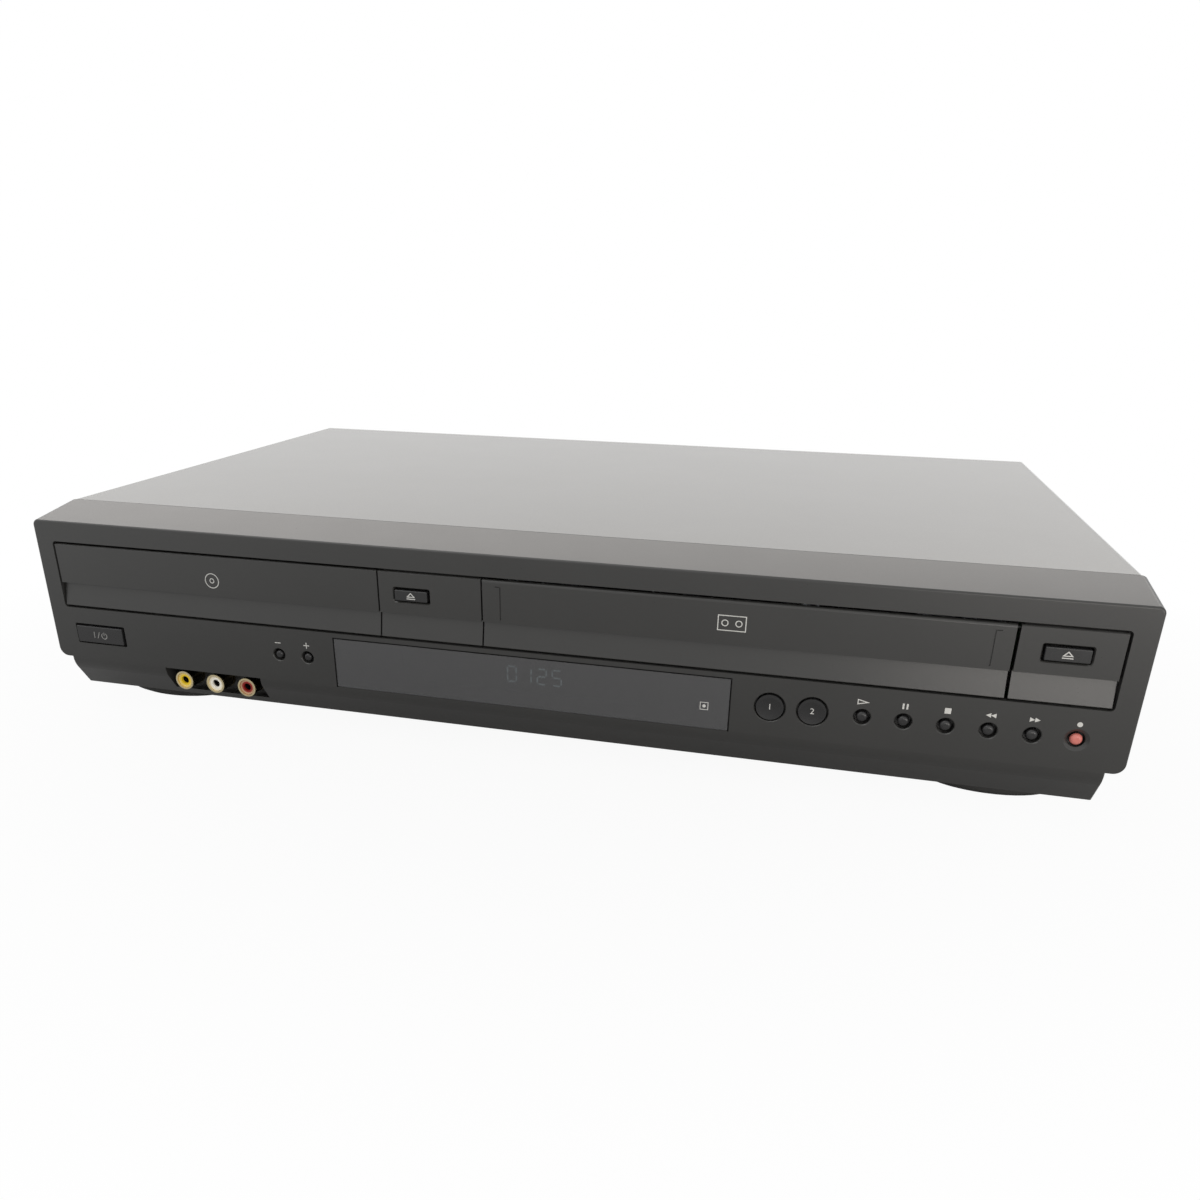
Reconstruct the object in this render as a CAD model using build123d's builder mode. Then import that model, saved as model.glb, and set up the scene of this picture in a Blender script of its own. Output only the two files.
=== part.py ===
# Disc and tape player: cabinet, front controls, disc loader and tape deck.
# Millimetres, +Z up, front face toward -Y, floor at Z = 0.
import math
import os

from build123d import *

os.makedirs("parts", exist_ok=True)

# Overall sizes
WIDTH = 430.0  # front panel, side to side
HEIGHT = 88.0  # floor to the top of the cover
CASE_DEPTH = 255.0  # front face to the outside of the rear panel
SOCKET_REACH = 9.0  # rear sockets beyond the rear panel
FOOT_HEIGHT = 9.0
SHEET = 1.0  # steel of the pan, the cover and the rear panel

# Clearances
SEAM = 0.3  # between fixed shells
SLIDE_GAP = 0.4  # between pieces that slide past each other
RUN = 0.05  # radial, shafts in bores
HOLE_GAP = 0.45  # radial, fixed sockets through panel holes
OVER = 1.0  # cuts past the surface they leave by
NEAR = 0.01  # slack for picking edges

# Front panel shell
PANEL_DEPTH = 23.7
PANEL_WALL = 3.0
PANEL_CORNER = 2.5  # along the ends of the sloping top
PANEL_EDGE = 0.8
FACE_CORNER = 4.0  # lower corners of the face
TOP_DROP = 3.9  # fall of the panel's top from the cover to the front edge
COVER_INSET = 1.2  # cover is narrower than the panel, each side
CHIN_INSET = 6.0
CHIN_EDGE = 0.8

# Long band across the upper front
BAND_MARGIN = 8.0  # panel end to the band
BAND_CORNER = 1.5
BAND_SETBACK = 0.4
BAND_GAP = 0.6  # below the pieces in the band
HEAD_GAP = 1.06  # above them
END_GAP = 0.5  # at the ends of the moving pieces
DOOR_PLAY = 1.1  # at the door's right end
TRIM_GAP = 0.9  # right trim to the panel
LEDGE_DEPTH = 1.8
BAND_BEVEL = 0.4  # front edges of the pieces in the band
WEB = 2.0  # wall behind the fixed trims
WEB_INSET = 1.6
WEB_FOOT = 1.2  # web below the band
WEB_HEAD = 4.0  # web above the band
FRONT_THICK = 3.0  # tray front

# Door
DOOR_THICK = 3.2
HINGE_RADIUS = 1.2
DOOR_ROD_RADIUS = 0.6
DOOR_ROD_REACH = 3.0
DOOR_RELIEF = 3.5  # thin upper part of the door, below its hinge
DOOR_RAMP = 0.8
GROOVE_INSET = 7.6  # grooves in the door's face, from its opening's ends
GROOVE_WIDTH = 0.5
GROOVE_DEPTH = 0.4
GROOVE_HOOK = 2.0
GROOVE_MARGIN = 1.2  # to the crease and to the hinge

# Controls on the lower front
WINDOW_X = -1.0
WINDOW_HEAD = 2.1  # window's opening below the band
WINDOW_SILL = 0.1  # window above its sill
WINDOW_STEP = 0.1  # window behind the face
WINDOW_THICK = 2.4
WINDOW_LIP = 2.5
WINDOW_LIP_HEAD = 0.6
POWER_INSET = 23.4  # panel end to the middle of the power button
POWER_SIZE = (24.2, 9.0)
TRACK_HOLE = 2.6
TRACK_CAP = 1.7
TRACK_ROUND = 1.0
SELECT_RING = 0.6
SELECT_PROUD = 0.2
SELECT_DISH = 28.0
SELECT_DIP = 0.4  # depth of the dish at its middle
SELECT_DISH_DROP = 0.9  # dish's middle below the button's
TRANSPORT_HOLE = 3.0
TRANSPORT_CAP = 2.1
TRANSPORT_ROUND = 1.3
TRANSPORT_PROUD = 0.1
RECORD_DISH = 4.2
DISH_DEPTH = 0.9
DISC_EJECT_SIZE = (14.7, 5.6)
TAPE_EJECT_SIZE = (15.8, 6.2)
EJECT_BEVEL = 0.4
EJECT_CORNER = 0.6
DISC_EJECT_OFFSET = -7.4  # from the middle of its trim
TAPE_EJECT_OFFSET = -1.1
HOLE_BEVEL = 0.3
EJECT_GAP = 0.65
POWER_GAP = 0.85
POWER_CORNER = 0.6
BAR_CORNER = 0.4  # caps of the oblong buttons
BAR_ROUND = 0.35
BUTTON_PROUD = 0.8
BUTTON_TRAVEL = 1.2
FLANGE_LIP = 1.2
FLANGE_THICK = 1.2
STEM_RADIUS = 1.5
SWITCH_SIZE = 6.0
SWITCH_HEIGHT = 3.6
SWITCH_GAP = 0.2  # pressed stem to its switch
BOARD = 1.6
BOARD_SETBACK = 14.0  # front face to the front board
BOARD_HEAD = 1.3  # front board's upper edge below the band
BOARD_DROP = 8.0  # board's lower edge below the button row
BOARD_POST = 2.5
POST_ROOT = 0.5  # posts set into the wall
BOARD_SIDE_GAP = 3.0
POST_REACH = (21.6, 9.1, 7.4, 8.5)  # board posts beside their buttons
EJECT_BOARD = (27.0, 22.0)

# Sockets
SOCKET_INSET = 75.6  # panel end to the middle front socket
SOCKET_PITCH = 15.0
SHELL_RADIUS = 4.15
SHELL_BORE = 3.4
FRONT_REACH = 8.0  # front sockets out of the pocket's back wall
COLLAR = 0.2  # step of a socket inside its panel
INSERT_SETBACK = 0.6
CONTACT_RADIUS = 1.7
CONTACT_DEPTH = 7.0
POCKET_WIDTH = 45.5
POCKET_DEPTH = 9.0
POCKET_WALL = 2.0
BLOCK_DEPTH = 10.0
BLOCK_SIDE = 3.0
BLOCK_HEAD_GAP = 0.5
REAR_BLOCK_MARGIN = 10.0
REAR_BLOCK_DEPTH = 14.0
REAR_COLUMNS = 5
REAR_ROW_GAP = 22.0
REAR_FIRST_INSET = 29.0
REAR_LAST_GAP = 56.0  # last column to the aerial sockets
REAR_ROW_RISE = 14.0  # lower row above the main board
AERIAL_RADIUS = 4.75
AERIAL_INSET = 21.5  # main board's right end to the aerial sockets
AERIAL_HOLE = 1.2
TUNER_HALF = 15.0
TUNER_DEEP = 26.0
TUNER_HEAD = 10.0
AERIAL_RISE = 11.0
AERIAL_PITCH = 18.0
GLAND_INSET = 40.0
GLAND_RISE = 26.0
GLAND_RADIUS = 5.5
GLAND_BORE = 3.5
GLAND_FLANGE = 2.0
GLAND_LIP = 1.5

# Feet
FOOT_LONG = 28.0  # half length of the oval foot
FOOT_SHORT = 17.0
FOOT_INSET = 37.0  # panel end to the middle of a foot
FOOT_SETBACK = 17.0
FOOT_BACK_INSET = 18.0
FOOT_ROUND = 1.0
PAD_THICK = 1.5
PAD_INSET = 3.0

# Cover details
COVER_BEND = 2.0
COVER_LIFT = 2.0  # skirt above the underside of the case
COVER_LIP = 9.0
PAN_FLANGE = 15.0
VENT_SIZE = (22.0, 2.4)
VENT_PITCH = 7.0
VENT_COUNT = 10
SIDE_VENT_INSET = 70.0
SIDE_VENT_RISE = 12.0  # above the middle of the case
REAR_VENT_RISE = 4.0
REAR_FLANGE_INSET = 4.0
REAR_FLANGE_GAP = 2.0  # rear panel's flanges to the boards
SCREW_RADIUS = 1.5
SCREW_HEAD = 3.2
SCREW_HEAD_THICK = 1.2
SCREW_LENGTH = 5.0
SCREW_GAP = 0.15
SCREW_CUT = 3.0
SCREW_INSET = 40.0
SCREW_DROP = 5.0
REAR_SCREW_INSET = 65.0

# Boards on the pan
BOARD_RISE = 6.0
POST_RADIUS = 3.0
DECK_POST_INSET = 8.0
MAIN_POST_INSET = 8.0
MAIN_POST_START = 24.0
POWER_POST_START = 16.0
POWER_POST_END = 14.0
POWER_POST_INSET = 6.0
POST_CLEAR = 1.0
MAIN_START = 12.0  # seam to the main board
BOARD_EDGE = 5.0  # pan's side to the main board
BOARD_SPACE = 8.0  # between the boards and the tape deck
BOARD_BACK_GAP = 10.0
POWER_BOARD_DEPTH = 32.0
POWER_BOARD_START = 8.0
POWER_BOARD_EDGE = 6.0
CORE_START = 40.0  # transformer beside the middle of the deck
CORE_WIDE = 36.0
CORE_DEEP = 26.0
CORE_TALL = 30.0
CORE_YOKE = 8.0
CORE_LIMB = 6.0
LIMB_DEEP = 10.0
COIL_WIDE = 20.0
COIL_DEEP = 18.0
LARGE_CAN_START = 14.0
LARGE_CAN = 11.0
LARGE_CAN_TALL = 32.0
SMALL_CAN_START = 70.0
SMALL_CAN_PITCH = 15.0
SMALL_CAN_SHIFT = 5.0
SMALL_CAN = 5.0
SMALL_CAN_TALL = 20.0
DISPLAY_HALF = 52.0
DISPLAY_SETBACK = 6.0
DISPLAY_FOOT = 7.0  # below and above the button row
DISPLAY_HEAD = 8.0
DISPLAY_ROUND = 0.8

# Disc loader
DISC_SETBACK = 75.0  # front face to the disc's middle
SEAT_RIM = 3.75  # disc seat to the tray's side
SMALL_SEAT = 40.75
SEAT_DEPTH = 2.5
SMALL_SEAT_DEPTH = 1.2
DISC_RISE = 0.8  # turntable above the seat
TRAY_MARGIN = 9.2  # tray is narrower than its front, each side
TRAY_THICK = 6.0
TRAY_RISE = 9.4  # tray underside above the band's lower edge
TRAY_LENGTH = 178.0
TRAY_TRAVEL = 140.0
TRAY_SLOT = 20.0  # half width of the slot for the turntable
RAIL = 2.6
RAIL_LEDGE = 5.0
LEDGE_THICK = 2.0
GUIDE_THICK = 1.5
RAIL_SKIRT = 0.4  # rails above the band's lower edge
RAIL_START = 6.0  # front face to the rails
LOADER_START = 23.0  # front face to the loader's floor
LOADER_DEEP = 28.0  # floor underside below the tray
LOADER_FLOOR = 2.0
LOADER_WALL = 2.0
LOADER_TAIL = 2.0  # tray's rear end to the wall
LOADER_POST = 4.0
LOADER_POST_INSET = 6.5
POST_INSET = 12.0
RAIL_TOP = 4.0  # rails above the tray
GEAR_MODULE = 1.25
DEDENDUM = 1.25 * GEAR_MODULE
GEAR_TEETH = 20
PRESSURE = math.radians(20.0)
BACKLASH = 0.2
FLANK_STEPS = 6
TOOTH_ROOT = 0.3  # tooth set into the gear's body
GEAR_INSET = 26.5  # tray's side to the gear axis
GEAR_SETBACK = 34.0
GEAR_THICK = 4.7
GEAR_SHAFT = 2.5
GEAR_SHOULDER = 2.0
GEAR_END_GAP = 0.2
RACK_BACK = 4.0
PULLEY_RADIUS = 11.5
PULLEY_LIP = 1.5
PULLEY_THICK = 5.0
PULLEY_NECK = 2.0  # between the pulley and the gear
PULLEY_STEP = 2.0
PULLEY_RIM = 1.0
MOTOR_PULLEY = 4.0
BELT = 1.5
BELT_TALL = 1.8
MOTOR_REACH = 58.0
MOTOR_RADIUS = 10.5
MOTOR_SHAFT = 1.0
MOTOR_HEAD = 2.0  # motor's top to its pulley
MOTOR_BOSS = 3.0
MOTOR_BOSS_GAP = 0.5
MOTOR_BASE = 4.0
MOTOR_END_GAP = 0.2
BRIDGE_HALF = 22.0
BRIDGE_THICK = 2.0
BRIDGE_HOLE = 13.0
CLAMP_LIP = 3.0
CLAMP_THICK = 1.5
CLAMP_DROP = 2.0
TRAVERSE_HALF = 30.0
TRAVERSE_DROP = 16.0  # plate underside below the tray
TRAVERSE_THICK = 3.0
TRAVERSE_FRONT = 25.0  # disc's middle to the plate's front end
TRAVERSE_BACK = 100.0
TRAVERSE_SIDE_GAP = 1.5
TRAVERSE_END_GAP = 2.0
TRAVERSE_SLOT = 15.0  # half width of the pickup's opening
TRAVERSE_SLOT_FRONT = 11.0  # rod posts to the opening
TRAVERSE_SLOT_BACK = 7.0
ROD_POST = (3.5, 2.0)  # half width and half thickness
ROD_END = 2.0
SPINDLE_BOSS = 5.0
BOSS_DEEP = 6.0
BOSS_RISE = 1.0
BOSS_FLOOR = 1.0
TRAVERSE_PIN = 2.0
TRAVERSE_PIN_REACH = 6.0
TRAVERSE_PIN_INSET = 5.0
PIN_END_GAP = 0.5
PIN_BLOCK = 5.0  # half size of the pins' bearings
PIN_BLOCK_SIDE = 2.0
SPINDLE_RADIUS = 1.5
ROTOR_RADIUS = 12.0
ROTOR_GAP = 1.5
ROTOR_TALL = 6.5
PLATTER_RADIUS = 14.5
PLATTER_THICK = 3.0
HUB_RADIUS = 7.4
HUB_TAPER = 2.0
HUB_TALL = 2.4
ROD_RADIUS = 1.5
ROD_SPREAD = 22.0
ROD_RISE = 5.0  # rods above the traverse plate
ROD_FRONT = 11.0  # disc's middle to the front rod posts
ROD_BACK = 87.0
PICKUP_HALF = 26.0
PICKUP_FRONT = 17.0
PICKUP_LONG = 22.0
PICKUP_TALL = 8.0
LENS_SETBACK = 9.0
LENS_RING = 6.0
LENS_RING_RISE = 2.0
LENS_RADIUS = 2.4
LENS_RISE = 2.8

# Tape deck
MOUTH_SIDE = 1.72  # door's end to a cassette, each side
MOUTH_TALL = 3.864  # band height less a cassette's thickness
HOLDER_SIDE_GAP = 0.7
HOLDER_TOP_GAP = 0.5
HOLDER_SHEET = 1.0
HOLDER_LEDGE = 20.0
HOLDER_SETBACK = 31.0
HOLDER_LONG = 42.0
HOLDER_RISE = 0.2
HOLDER_STOP = 10.0
ROOF_START = 6.0
HOLDER_PIN_DROP = 4.3
SLIDER_PIN_RISE = 3.7
SLIDER_PIN_INSET = 9.0
CARRIAGE_STOP = 6.0  # holder to the drum at the end of its travel
CARRIAGE_PIN = 2.0
PIN_ROOT = 0.2  # pins set into their plates
PIN_SHOW = 0.2
PIN_END = 1.0
SLOT_PLAY = 0.3
SLIDER_HEAD = 3.5
SLIDER_FOOT = 3.0
SLIDER_BRIDGE_GAP = 2.0
PIN_GAP = 0.1
PLATE = 1.2
PLATE_RISE = 8.7  # plates above the holder
PLATE_START = 1.0
PLATE_END = 6.0
DECK_GAP = 4.3
DECK_THICK = 1.5
DECK_RISE = 13.5  # deck above the pan
DECK_SETBACK = 30.0
REEL_SPREAD = 46.0
REEL_AHEAD = 2.0  # in front of the middle between the deck's edge and the capstan
REEL_RADIUS = 18.0
REEL_FLANGE = 2.5
REEL_HUB = 6.5
REEL_TALL = 16.0
REEL_SHAFT = 2.5
REEL_GAP = 0.5
REEL_HUB_DROP = 2.0  # hub below the shaft's end
REEL_FIN = (4.0, 2.0, 10.0)  # span past the hub, thickness, height
DRUM_RADIUS = 31.0
DRUM_INSET = 34.0  # deck's rear edge to the drum's middle
DRUM_TILT = 5.0
DRUM_BASE = 13.0
DRUM_TALL = 15.0
DRUM_GAP = 0.3
DRUM_SHAFT = 3.0
DRUM_FOOT = 6.0
DRUM_TRIM = 20.0
DRUM_BORE = 4.0
DRUM_END_GAP = 0.5
ROTOR_CAP = 22.0
ROTOR_CAP_TALL = 5.0
CAPSTAN_OFFSET = 50.0
CAPSTAN_AHEAD = 28.0  # in front of the drum's middle
CAPSTAN_RADIUS = 2.0
CAPSTAN_TALL = 22.0
FLYWHEEL_RADIUS = 22.0
FLYWHEEL_THICK = 5.5
FLYWHEEL_GAP = 4.0
BEARING_RADIUS = 5.0
BEARING_LIP = 2.0
BEARING_FOOT = 2.0  # bearing below the deck
PINCH_RADIUS = 6.0
PINCH_TALL = 13.0
PINCH_PIN = 1.5
PINCH_PIVOT = 2.0
PINCH_REACH = 24.0  # pivot beside the capstan
PINCH_BACK = 2.0  # pivot in front of the capstan
PINCH_SWING = 20.0
PINCH_GAP = 0.3
PINCH_RISE = 0.5
PIN_HEAD = 1.0
ARM_HALF = 4.5
ARM_THICK = 3.0
ARM_RISE = 3.5  # arm above the deck, clear of the reels
ARM_BOSS = 8.0
ARM_GAP = 0.2
HEAD_TALL = 22.0
FIXED_HEAD = (9.0, 8.0)
FIXED_HEAD_SHIFT = (18.0, 2.0)
ERASE_HEAD = (12.0, 10.0)
ERASE_HEAD_SHIFT = (64.0, 4.0)
DECK_HOLE = 9.0
DECK_HOLE_PITCH = 70.0
DECK_HOLE_INSET = 22.0

# Places that follow from the sizes
DEPTH = BUTTON_PROUD + CASE_DEPTH + SOCKET_REACH
FRONT = BUTTON_PROUD - DEPTH / 2
BACK = FRONT + CASE_DEPTH
REAR_IN = BACK - SHEET
SEAM_Y = FRONT + PANEL_DEPTH
PAN_TOP = FOOT_HEIGHT + SHEET
COVER_HALF = WIDTH / 2 - COVER_INSET
PAN_HALF = COVER_HALF - SHEET - SEAM
CHIN_HALF = WIDTH / 2 - CHIN_INSET
CHIN_HEIGHT = 0.1625 * HEIGHT
CHIN_RAKE = 0.49 * CHIN_HEIGHT
CHIN_BEND = 0.2 * CHIN_HEIGHT  # soft bend below the face, before the straight rake
FACE_BOTTOM = FOOT_HEIGHT + CHIN_HEIGHT
FACE_TOP = HEIGHT - TOP_DROP
WALL_BACK = FRONT + PANEL_WALL
WEB_BACK = WALL_BACK + WEB
BAND_HALF = WIDTH / 2 - BAND_MARGIN
BAND_RISE = 0.2648 * HEIGHT
BAND_HEIGHT = 0.328 * HEIGHT
BAND_BOTTOM = FACE_BOTTOM + BAND_RISE
BAND_TOP = BAND_BOTTOM + BAND_HEIGHT
PIECE_TOP = BAND_TOP - HEAD_GAP
BAND_FACE = FRONT + BAND_SETBACK
CREASE = BAND_BOTTOM + 0.3778 * BAND_HEIGHT
DISC_WIDTH = 0.356 * 2 * BAND_HALF
TAPE_WIDTH = 0.46 * 2 * BAND_HALF
TAPE_TRIM_WIDTH = 0.082 * 2 * BAND_HALF
DISC_LEFT = -BAND_HALF
DISC_RIGHT = DISC_LEFT + DISC_WIDTH
TAPE_RIGHT = BAND_HALF - TAPE_TRIM_WIDTH
TAPE_LEFT = TAPE_RIGHT - TAPE_WIDTH
DISC_X = (DISC_LEFT + DISC_RIGHT) / 2
TAPE_X = (TAPE_LEFT + TAPE_RIGHT) / 2
ROW = FACE_BOTTOM + 0.4936 * BAND_RISE
WINDOW_WIDTH = 0.3725 * WIDTH
WINDOW_HEIGHT = BAND_RISE - WINDOW_HEAD
WINDOW_LEFT = WINDOW_X - WINDOW_WIDTH / 2
WINDOW_RIGHT = WINDOW_X + WINDOW_WIDTH / 2
WINDOW_LOW = FACE_BOTTOM
POWER_X = POWER_INSET - WIDTH / 2
POWER_Z = FACE_BOTTOM + 0.5064 * BAND_RISE
LEFT_FIELD = WINDOW_LEFT + WIDTH / 2
RIGHT_FIELD = WIDTH / 2 - WINDOW_RIGHT
TRACK_REACH = 0.0919 * LEFT_FIELD
TRACK_PITCH = 0.0963 * LEFT_FIELD
SELECT_REACH = 0.1067 * RIGHT_FIELD
SELECT_PITCH = 0.112 * RIGHT_FIELD
SELECT_HOLE = 0.368 * SELECT_PITCH
SELECT_CAP = SELECT_HOLE - SELECT_RING
TRANSPORT_REACH = 0.3473 * RIGHT_FIELD
TRANSPORT_PITCH = 0.1048 * RIGHT_FIELD
TRACK_X = [WINDOW_LEFT - TRACK_REACH - TRACK_PITCH, WINDOW_LEFT - TRACK_REACH]
SELECT_X = [WINDOW_RIGHT + SELECT_REACH, WINDOW_RIGHT + SELECT_REACH + SELECT_PITCH]
TRANSPORT_X = [WINDOW_RIGHT + TRANSPORT_REACH + i * TRANSPORT_PITCH for i in range(6)]
EJECT_ROW = CREASE + 0.4586 * (PIECE_TOP - CREASE)
DISC_EJECT_X = (DISC_RIGHT + TAPE_LEFT) / 2 + DISC_EJECT_OFFSET
TAPE_EJECT_X = (TAPE_RIGHT + BAND_HALF) / 2 + TAPE_EJECT_OFFSET
BOARD_FRONT = FRONT + BOARD_SETBACK
BOARD_BACK = BOARD_FRONT + BOARD
BOARD_LOW = ROW - BOARD_DROP
BOARD_HIGH = BAND_BOTTOM - BOARD_HEAD
SWITCH_FACE = BOARD_FRONT - SWITCH_HEIGHT
STEM_END = SWITCH_FACE - BUTTON_TRAVEL - SWITCH_GAP
SOCKET_X = SOCKET_INSET - WIDTH / 2
POCKET_BACK = FRONT + POCKET_DEPTH
BLOCK_FACE = POCKET_BACK + POCKET_WALL
POCKET_LOW = FOOT_HEIGHT + PANEL_WALL
POCKET_HIGH = FACE_BOTTOM - SEAM
SOCKET_Z = (POCKET_LOW + POCKET_HIGH) / 2
MAIN_Z = PAN_TOP + BOARD_RISE
MAIN_TOP = MAIN_Z + BOARD
REAR_Z = [MAIN_TOP + REAR_ROW_RISE, MAIN_TOP + REAR_ROW_RISE + REAR_ROW_GAP]
AERIAL_Z = [MAIN_TOP + AERIAL_RISE, MAIN_TOP + AERIAL_RISE + AERIAL_PITCH]
GLAND_X = WIDTH / 2 - GLAND_INSET
GLAND_Z = PAN_TOP + GLAND_RISE
MAIN_LEFT = -PAN_HALF + BOARD_EDGE
BOARD_REAR = REAR_IN - BOARD_BACK_GAP
FOOT_SPREAD = WIDTH / 2 - FOOT_INSET
FOOT_Y = [FRONT + FOOT_SETBACK + FOOT_SHORT, BACK - FOOT_BACK_INSET - FOOT_SHORT]
DISC_Y = FRONT + DISC_SETBACK
TRAY_HALF = DISC_WIDTH / 2 - TRAY_MARGIN
DISC_SEAT = TRAY_HALF - SEAT_RIM
TRAY_LOW = BAND_BOTTOM + TRAY_RISE
TRAY_TOP = TRAY_LOW + TRAY_THICK
TRAY_FRONT = BAND_FACE + FRONT_THICK
TRAY_REAR = TRAY_FRONT + TRAY_LENGTH
RAIL_IN = TRAY_HALF + SLIDE_GAP
RAIL_OUT = RAIL_IN + RAIL
RAIL_HIGH = TRAY_TOP + RAIL_TOP
RAIL_FRONT = FRONT + RAIL_START
LOADER_FRONT = FRONT + LOADER_START
LOADER_REAR = TRAY_REAR + LOADER_TAIL
FLOOR_Z = TRAY_LOW - LOADER_DEEP
FLOOR_TOP = FLOOR_Z + LOADER_FLOOR
GEAR_X = DISC_X + TRAY_HALF - GEAR_INSET
GEAR_Y = FRONT + GEAR_SETBACK
GEAR_RADIUS = GEAR_MODULE * GEAR_TEETH / 2
GEAR_LOW = TRAY_LOW - SEAM - GEAR_THICK
PULLEY_LOW = GEAR_LOW - PULLEY_NECK - PULLEY_THICK
MOTOR_X = GEAR_X - MOTOR_REACH
TRAVERSE_Z = TRAY_LOW - TRAVERSE_DROP
TRAVERSE_TOP = TRAVERSE_Z + TRAVERSE_THICK
TRAVERSE_PIN_Y = DISC_Y + TRAVERSE_BACK - TRAVERSE_PIN_INSET
TRAVERSE_PIN_Z = TRAVERSE_Z + TRAVERSE_THICK / 2
ROD_Z = TRAVERSE_TOP + ROD_RISE
DISC_LEVEL = TRAY_TOP - SEAT_DEPTH + DISC_RISE
TAPE_BODY = (TAPE_WIDTH - 2 * MOUTH_SIDE, BAND_HEIGHT - MOUTH_TALL)
HOLDER_HALF = TAPE_BODY[0] / 2 + HOLDER_SIDE_GAP
HOLDER_OUT = HOLDER_HALF + HOLDER_SHEET
HOLDER_FLOOR = BAND_BOTTOM + HOLDER_RISE
HOLDER_LOW = HOLDER_FLOOR - HOLDER_SHEET
HOLDER_ROOF = HOLDER_FLOOR + TAPE_BODY[1] + HOLDER_TOP_GAP
HOLDER_TOP = HOLDER_ROOF + HOLDER_SHEET
HOLDER_FRONT = FRONT + HOLDER_SETBACK
HOLDER_BACK = HOLDER_FRONT + HOLDER_LONG
ARM_IN = HOLDER_OUT + SLIDE_GAP
ARM_OUT = ARM_IN + HOLDER_SHEET
PLATE_IN = ARM_OUT + SLIDE_GAP
PLATE_OUT = PLATE_IN + PLATE
PLATE_TOP = HOLDER_TOP + PLATE_RISE
MAIN_RIGHT = TAPE_X - PLATE_OUT - BOARD_SPACE
AERIAL_X = MAIN_RIGHT - AERIAL_INSET
REAR_FIRST = REAR_FIRST_INSET - WIDTH / 2
REAR_PITCH = (AERIAL_X - REAR_LAST_GAP - REAR_FIRST) / (REAR_COLUMNS - 1)
REAR_X = [REAR_FIRST + i * REAR_PITCH for i in range(REAR_COLUMNS)]
DECK_TOP = PAN_TOP + DECK_RISE
CARRIAGE_DROP = HOLDER_LOW - DECK_TOP - DECK_GAP
DECK_LOW = DECK_TOP - DECK_THICK
DECK_FRONT = FRONT + DECK_SETBACK
DECK_BACK = BOARD_REAR - POWER_BOARD_DEPTH - BOARD_SPACE
HOLDER_PIN_Y = HOLDER_FRONT + HOLDER_LONG / 2
HOLDER_PIN_Z = HOLDER_TOP - HOLDER_PIN_DROP
SLIDER_PIN_Z = HOLDER_TOP + SLIDER_PIN_RISE
SLIDER_PIN_Y = [HOLDER_FRONT + SLIDER_PIN_INSET, HOLDER_BACK - SLIDER_PIN_INSET]
DRUM_Y = DECK_BACK - DRUM_INSET
CARRIAGE_TRAVEL = DRUM_Y - DRUM_RADIUS - CARRIAGE_STOP - HOLDER_BACK
CAPSTAN_X = TAPE_X + CAPSTAN_OFFSET
CAPSTAN_Y = DRUM_Y - CAPSTAN_AHEAD
REEL_Y = (DECK_FRONT + CAPSTAN_Y) / 2 - REEL_AHEAD
FLYWHEEL_Z = DECK_LOW - FLYWHEEL_GAP - FLYWHEEL_THICK
PIVOT_X = CAPSTAN_X + PINCH_REACH
PIVOT_Y = CAPSTAN_Y - PINCH_BACK
SIDE_SCREW_Y = [SEAM_Y + SCREW_INSET, REAR_IN - SCREW_INSET]
SIDE_SCREW_Z = FOOT_HEIGHT + PAN_FLANGE - SCREW_DROP
REAR_SCREW_X = [REAR_SCREW_INSET - WIDTH / 2, 0.0, WIDTH / 2 - REAR_SCREW_INSET]
REAR_SCREW_Z = HEIGHT - COVER_LIP / 2 - SHEET / 2
LOADER_POST_X = [DISC_X - TRAY_HALF + LOADER_POST_INSET, DISC_X + TRAY_HALF - LOADER_POST_INSET]
LOADER_POST_Y = [LOADER_FRONT + POST_INSET, LOADER_REAR - POST_INSET]
HINGE_Y = BAND_FACE + HINGE_RADIUS
HINGE_Z = PIECE_TOP - HINGE_RADIUS


def block(x, y, z, mode=Mode.ADD):
    """A box between the low and the high end given for each axis."""
    with Locations(((x[0] + x[1]) / 2, (y[0] + y[1]) / 2, (z[0] + z[1]) / 2)):
        Box(x[1] - x[0], y[1] - y[0], z[1] - z[0], mode=mode)


def rod_x(y, z, radius, ends, mode=Mode.ADD):
    """A cylinder along X."""
    with Locations(((ends[0] + ends[1]) / 2, y, z)):
        Cylinder(radius, ends[1] - ends[0], rotation=(0, 90, 0), mode=mode)


def rod_y(x, z, radius, ends, mode=Mode.ADD):
    """A cylinder along Y."""
    with Locations((x, (ends[0] + ends[1]) / 2, z)):
        Cylinder(radius, ends[1] - ends[0], rotation=(90, 0, 0), mode=mode)


def rod_z(x, y, radius, ends, mode=Mode.ADD):
    """A cylinder along Z."""
    with Locations((x, y, (ends[0] + ends[1]) / 2)):
        Cylinder(radius, ends[1] - ends[0], mode=mode)


def about(middle, half):
    """A span of a half width on both sides of a middle."""
    return (middle - half, middle + half)


def side_spans(middle, near, far):
    """Spans left and right of a middle line, from near to far."""
    return [(middle - far, middle - near), (middle + near, middle + far)]


def finish(piece, name):
    """Label a piece and write it."""
    piece.part.label = name
    export_step(piece.part, f"parts/{name}.step")


def band_profile(back):
    """Side profile shared by the pieces in the band: flat, crease, ledge."""
    low = BAND_BOTTOM + BAND_GAP
    Polygon(
        (BAND_FACE, CREASE),
        (BAND_FACE, PIECE_TOP - BAND_BEVEL),
        (BAND_FACE + BAND_BEVEL, PIECE_TOP),
        (back, PIECE_TOP),
        (back, low),
        (BAND_FACE + BAND_BEVEL, low),
        (BAND_FACE, low + BAND_BEVEL),
        (BAND_FACE + LEDGE_DEPTH, CREASE),
        align=None,
    )


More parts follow.
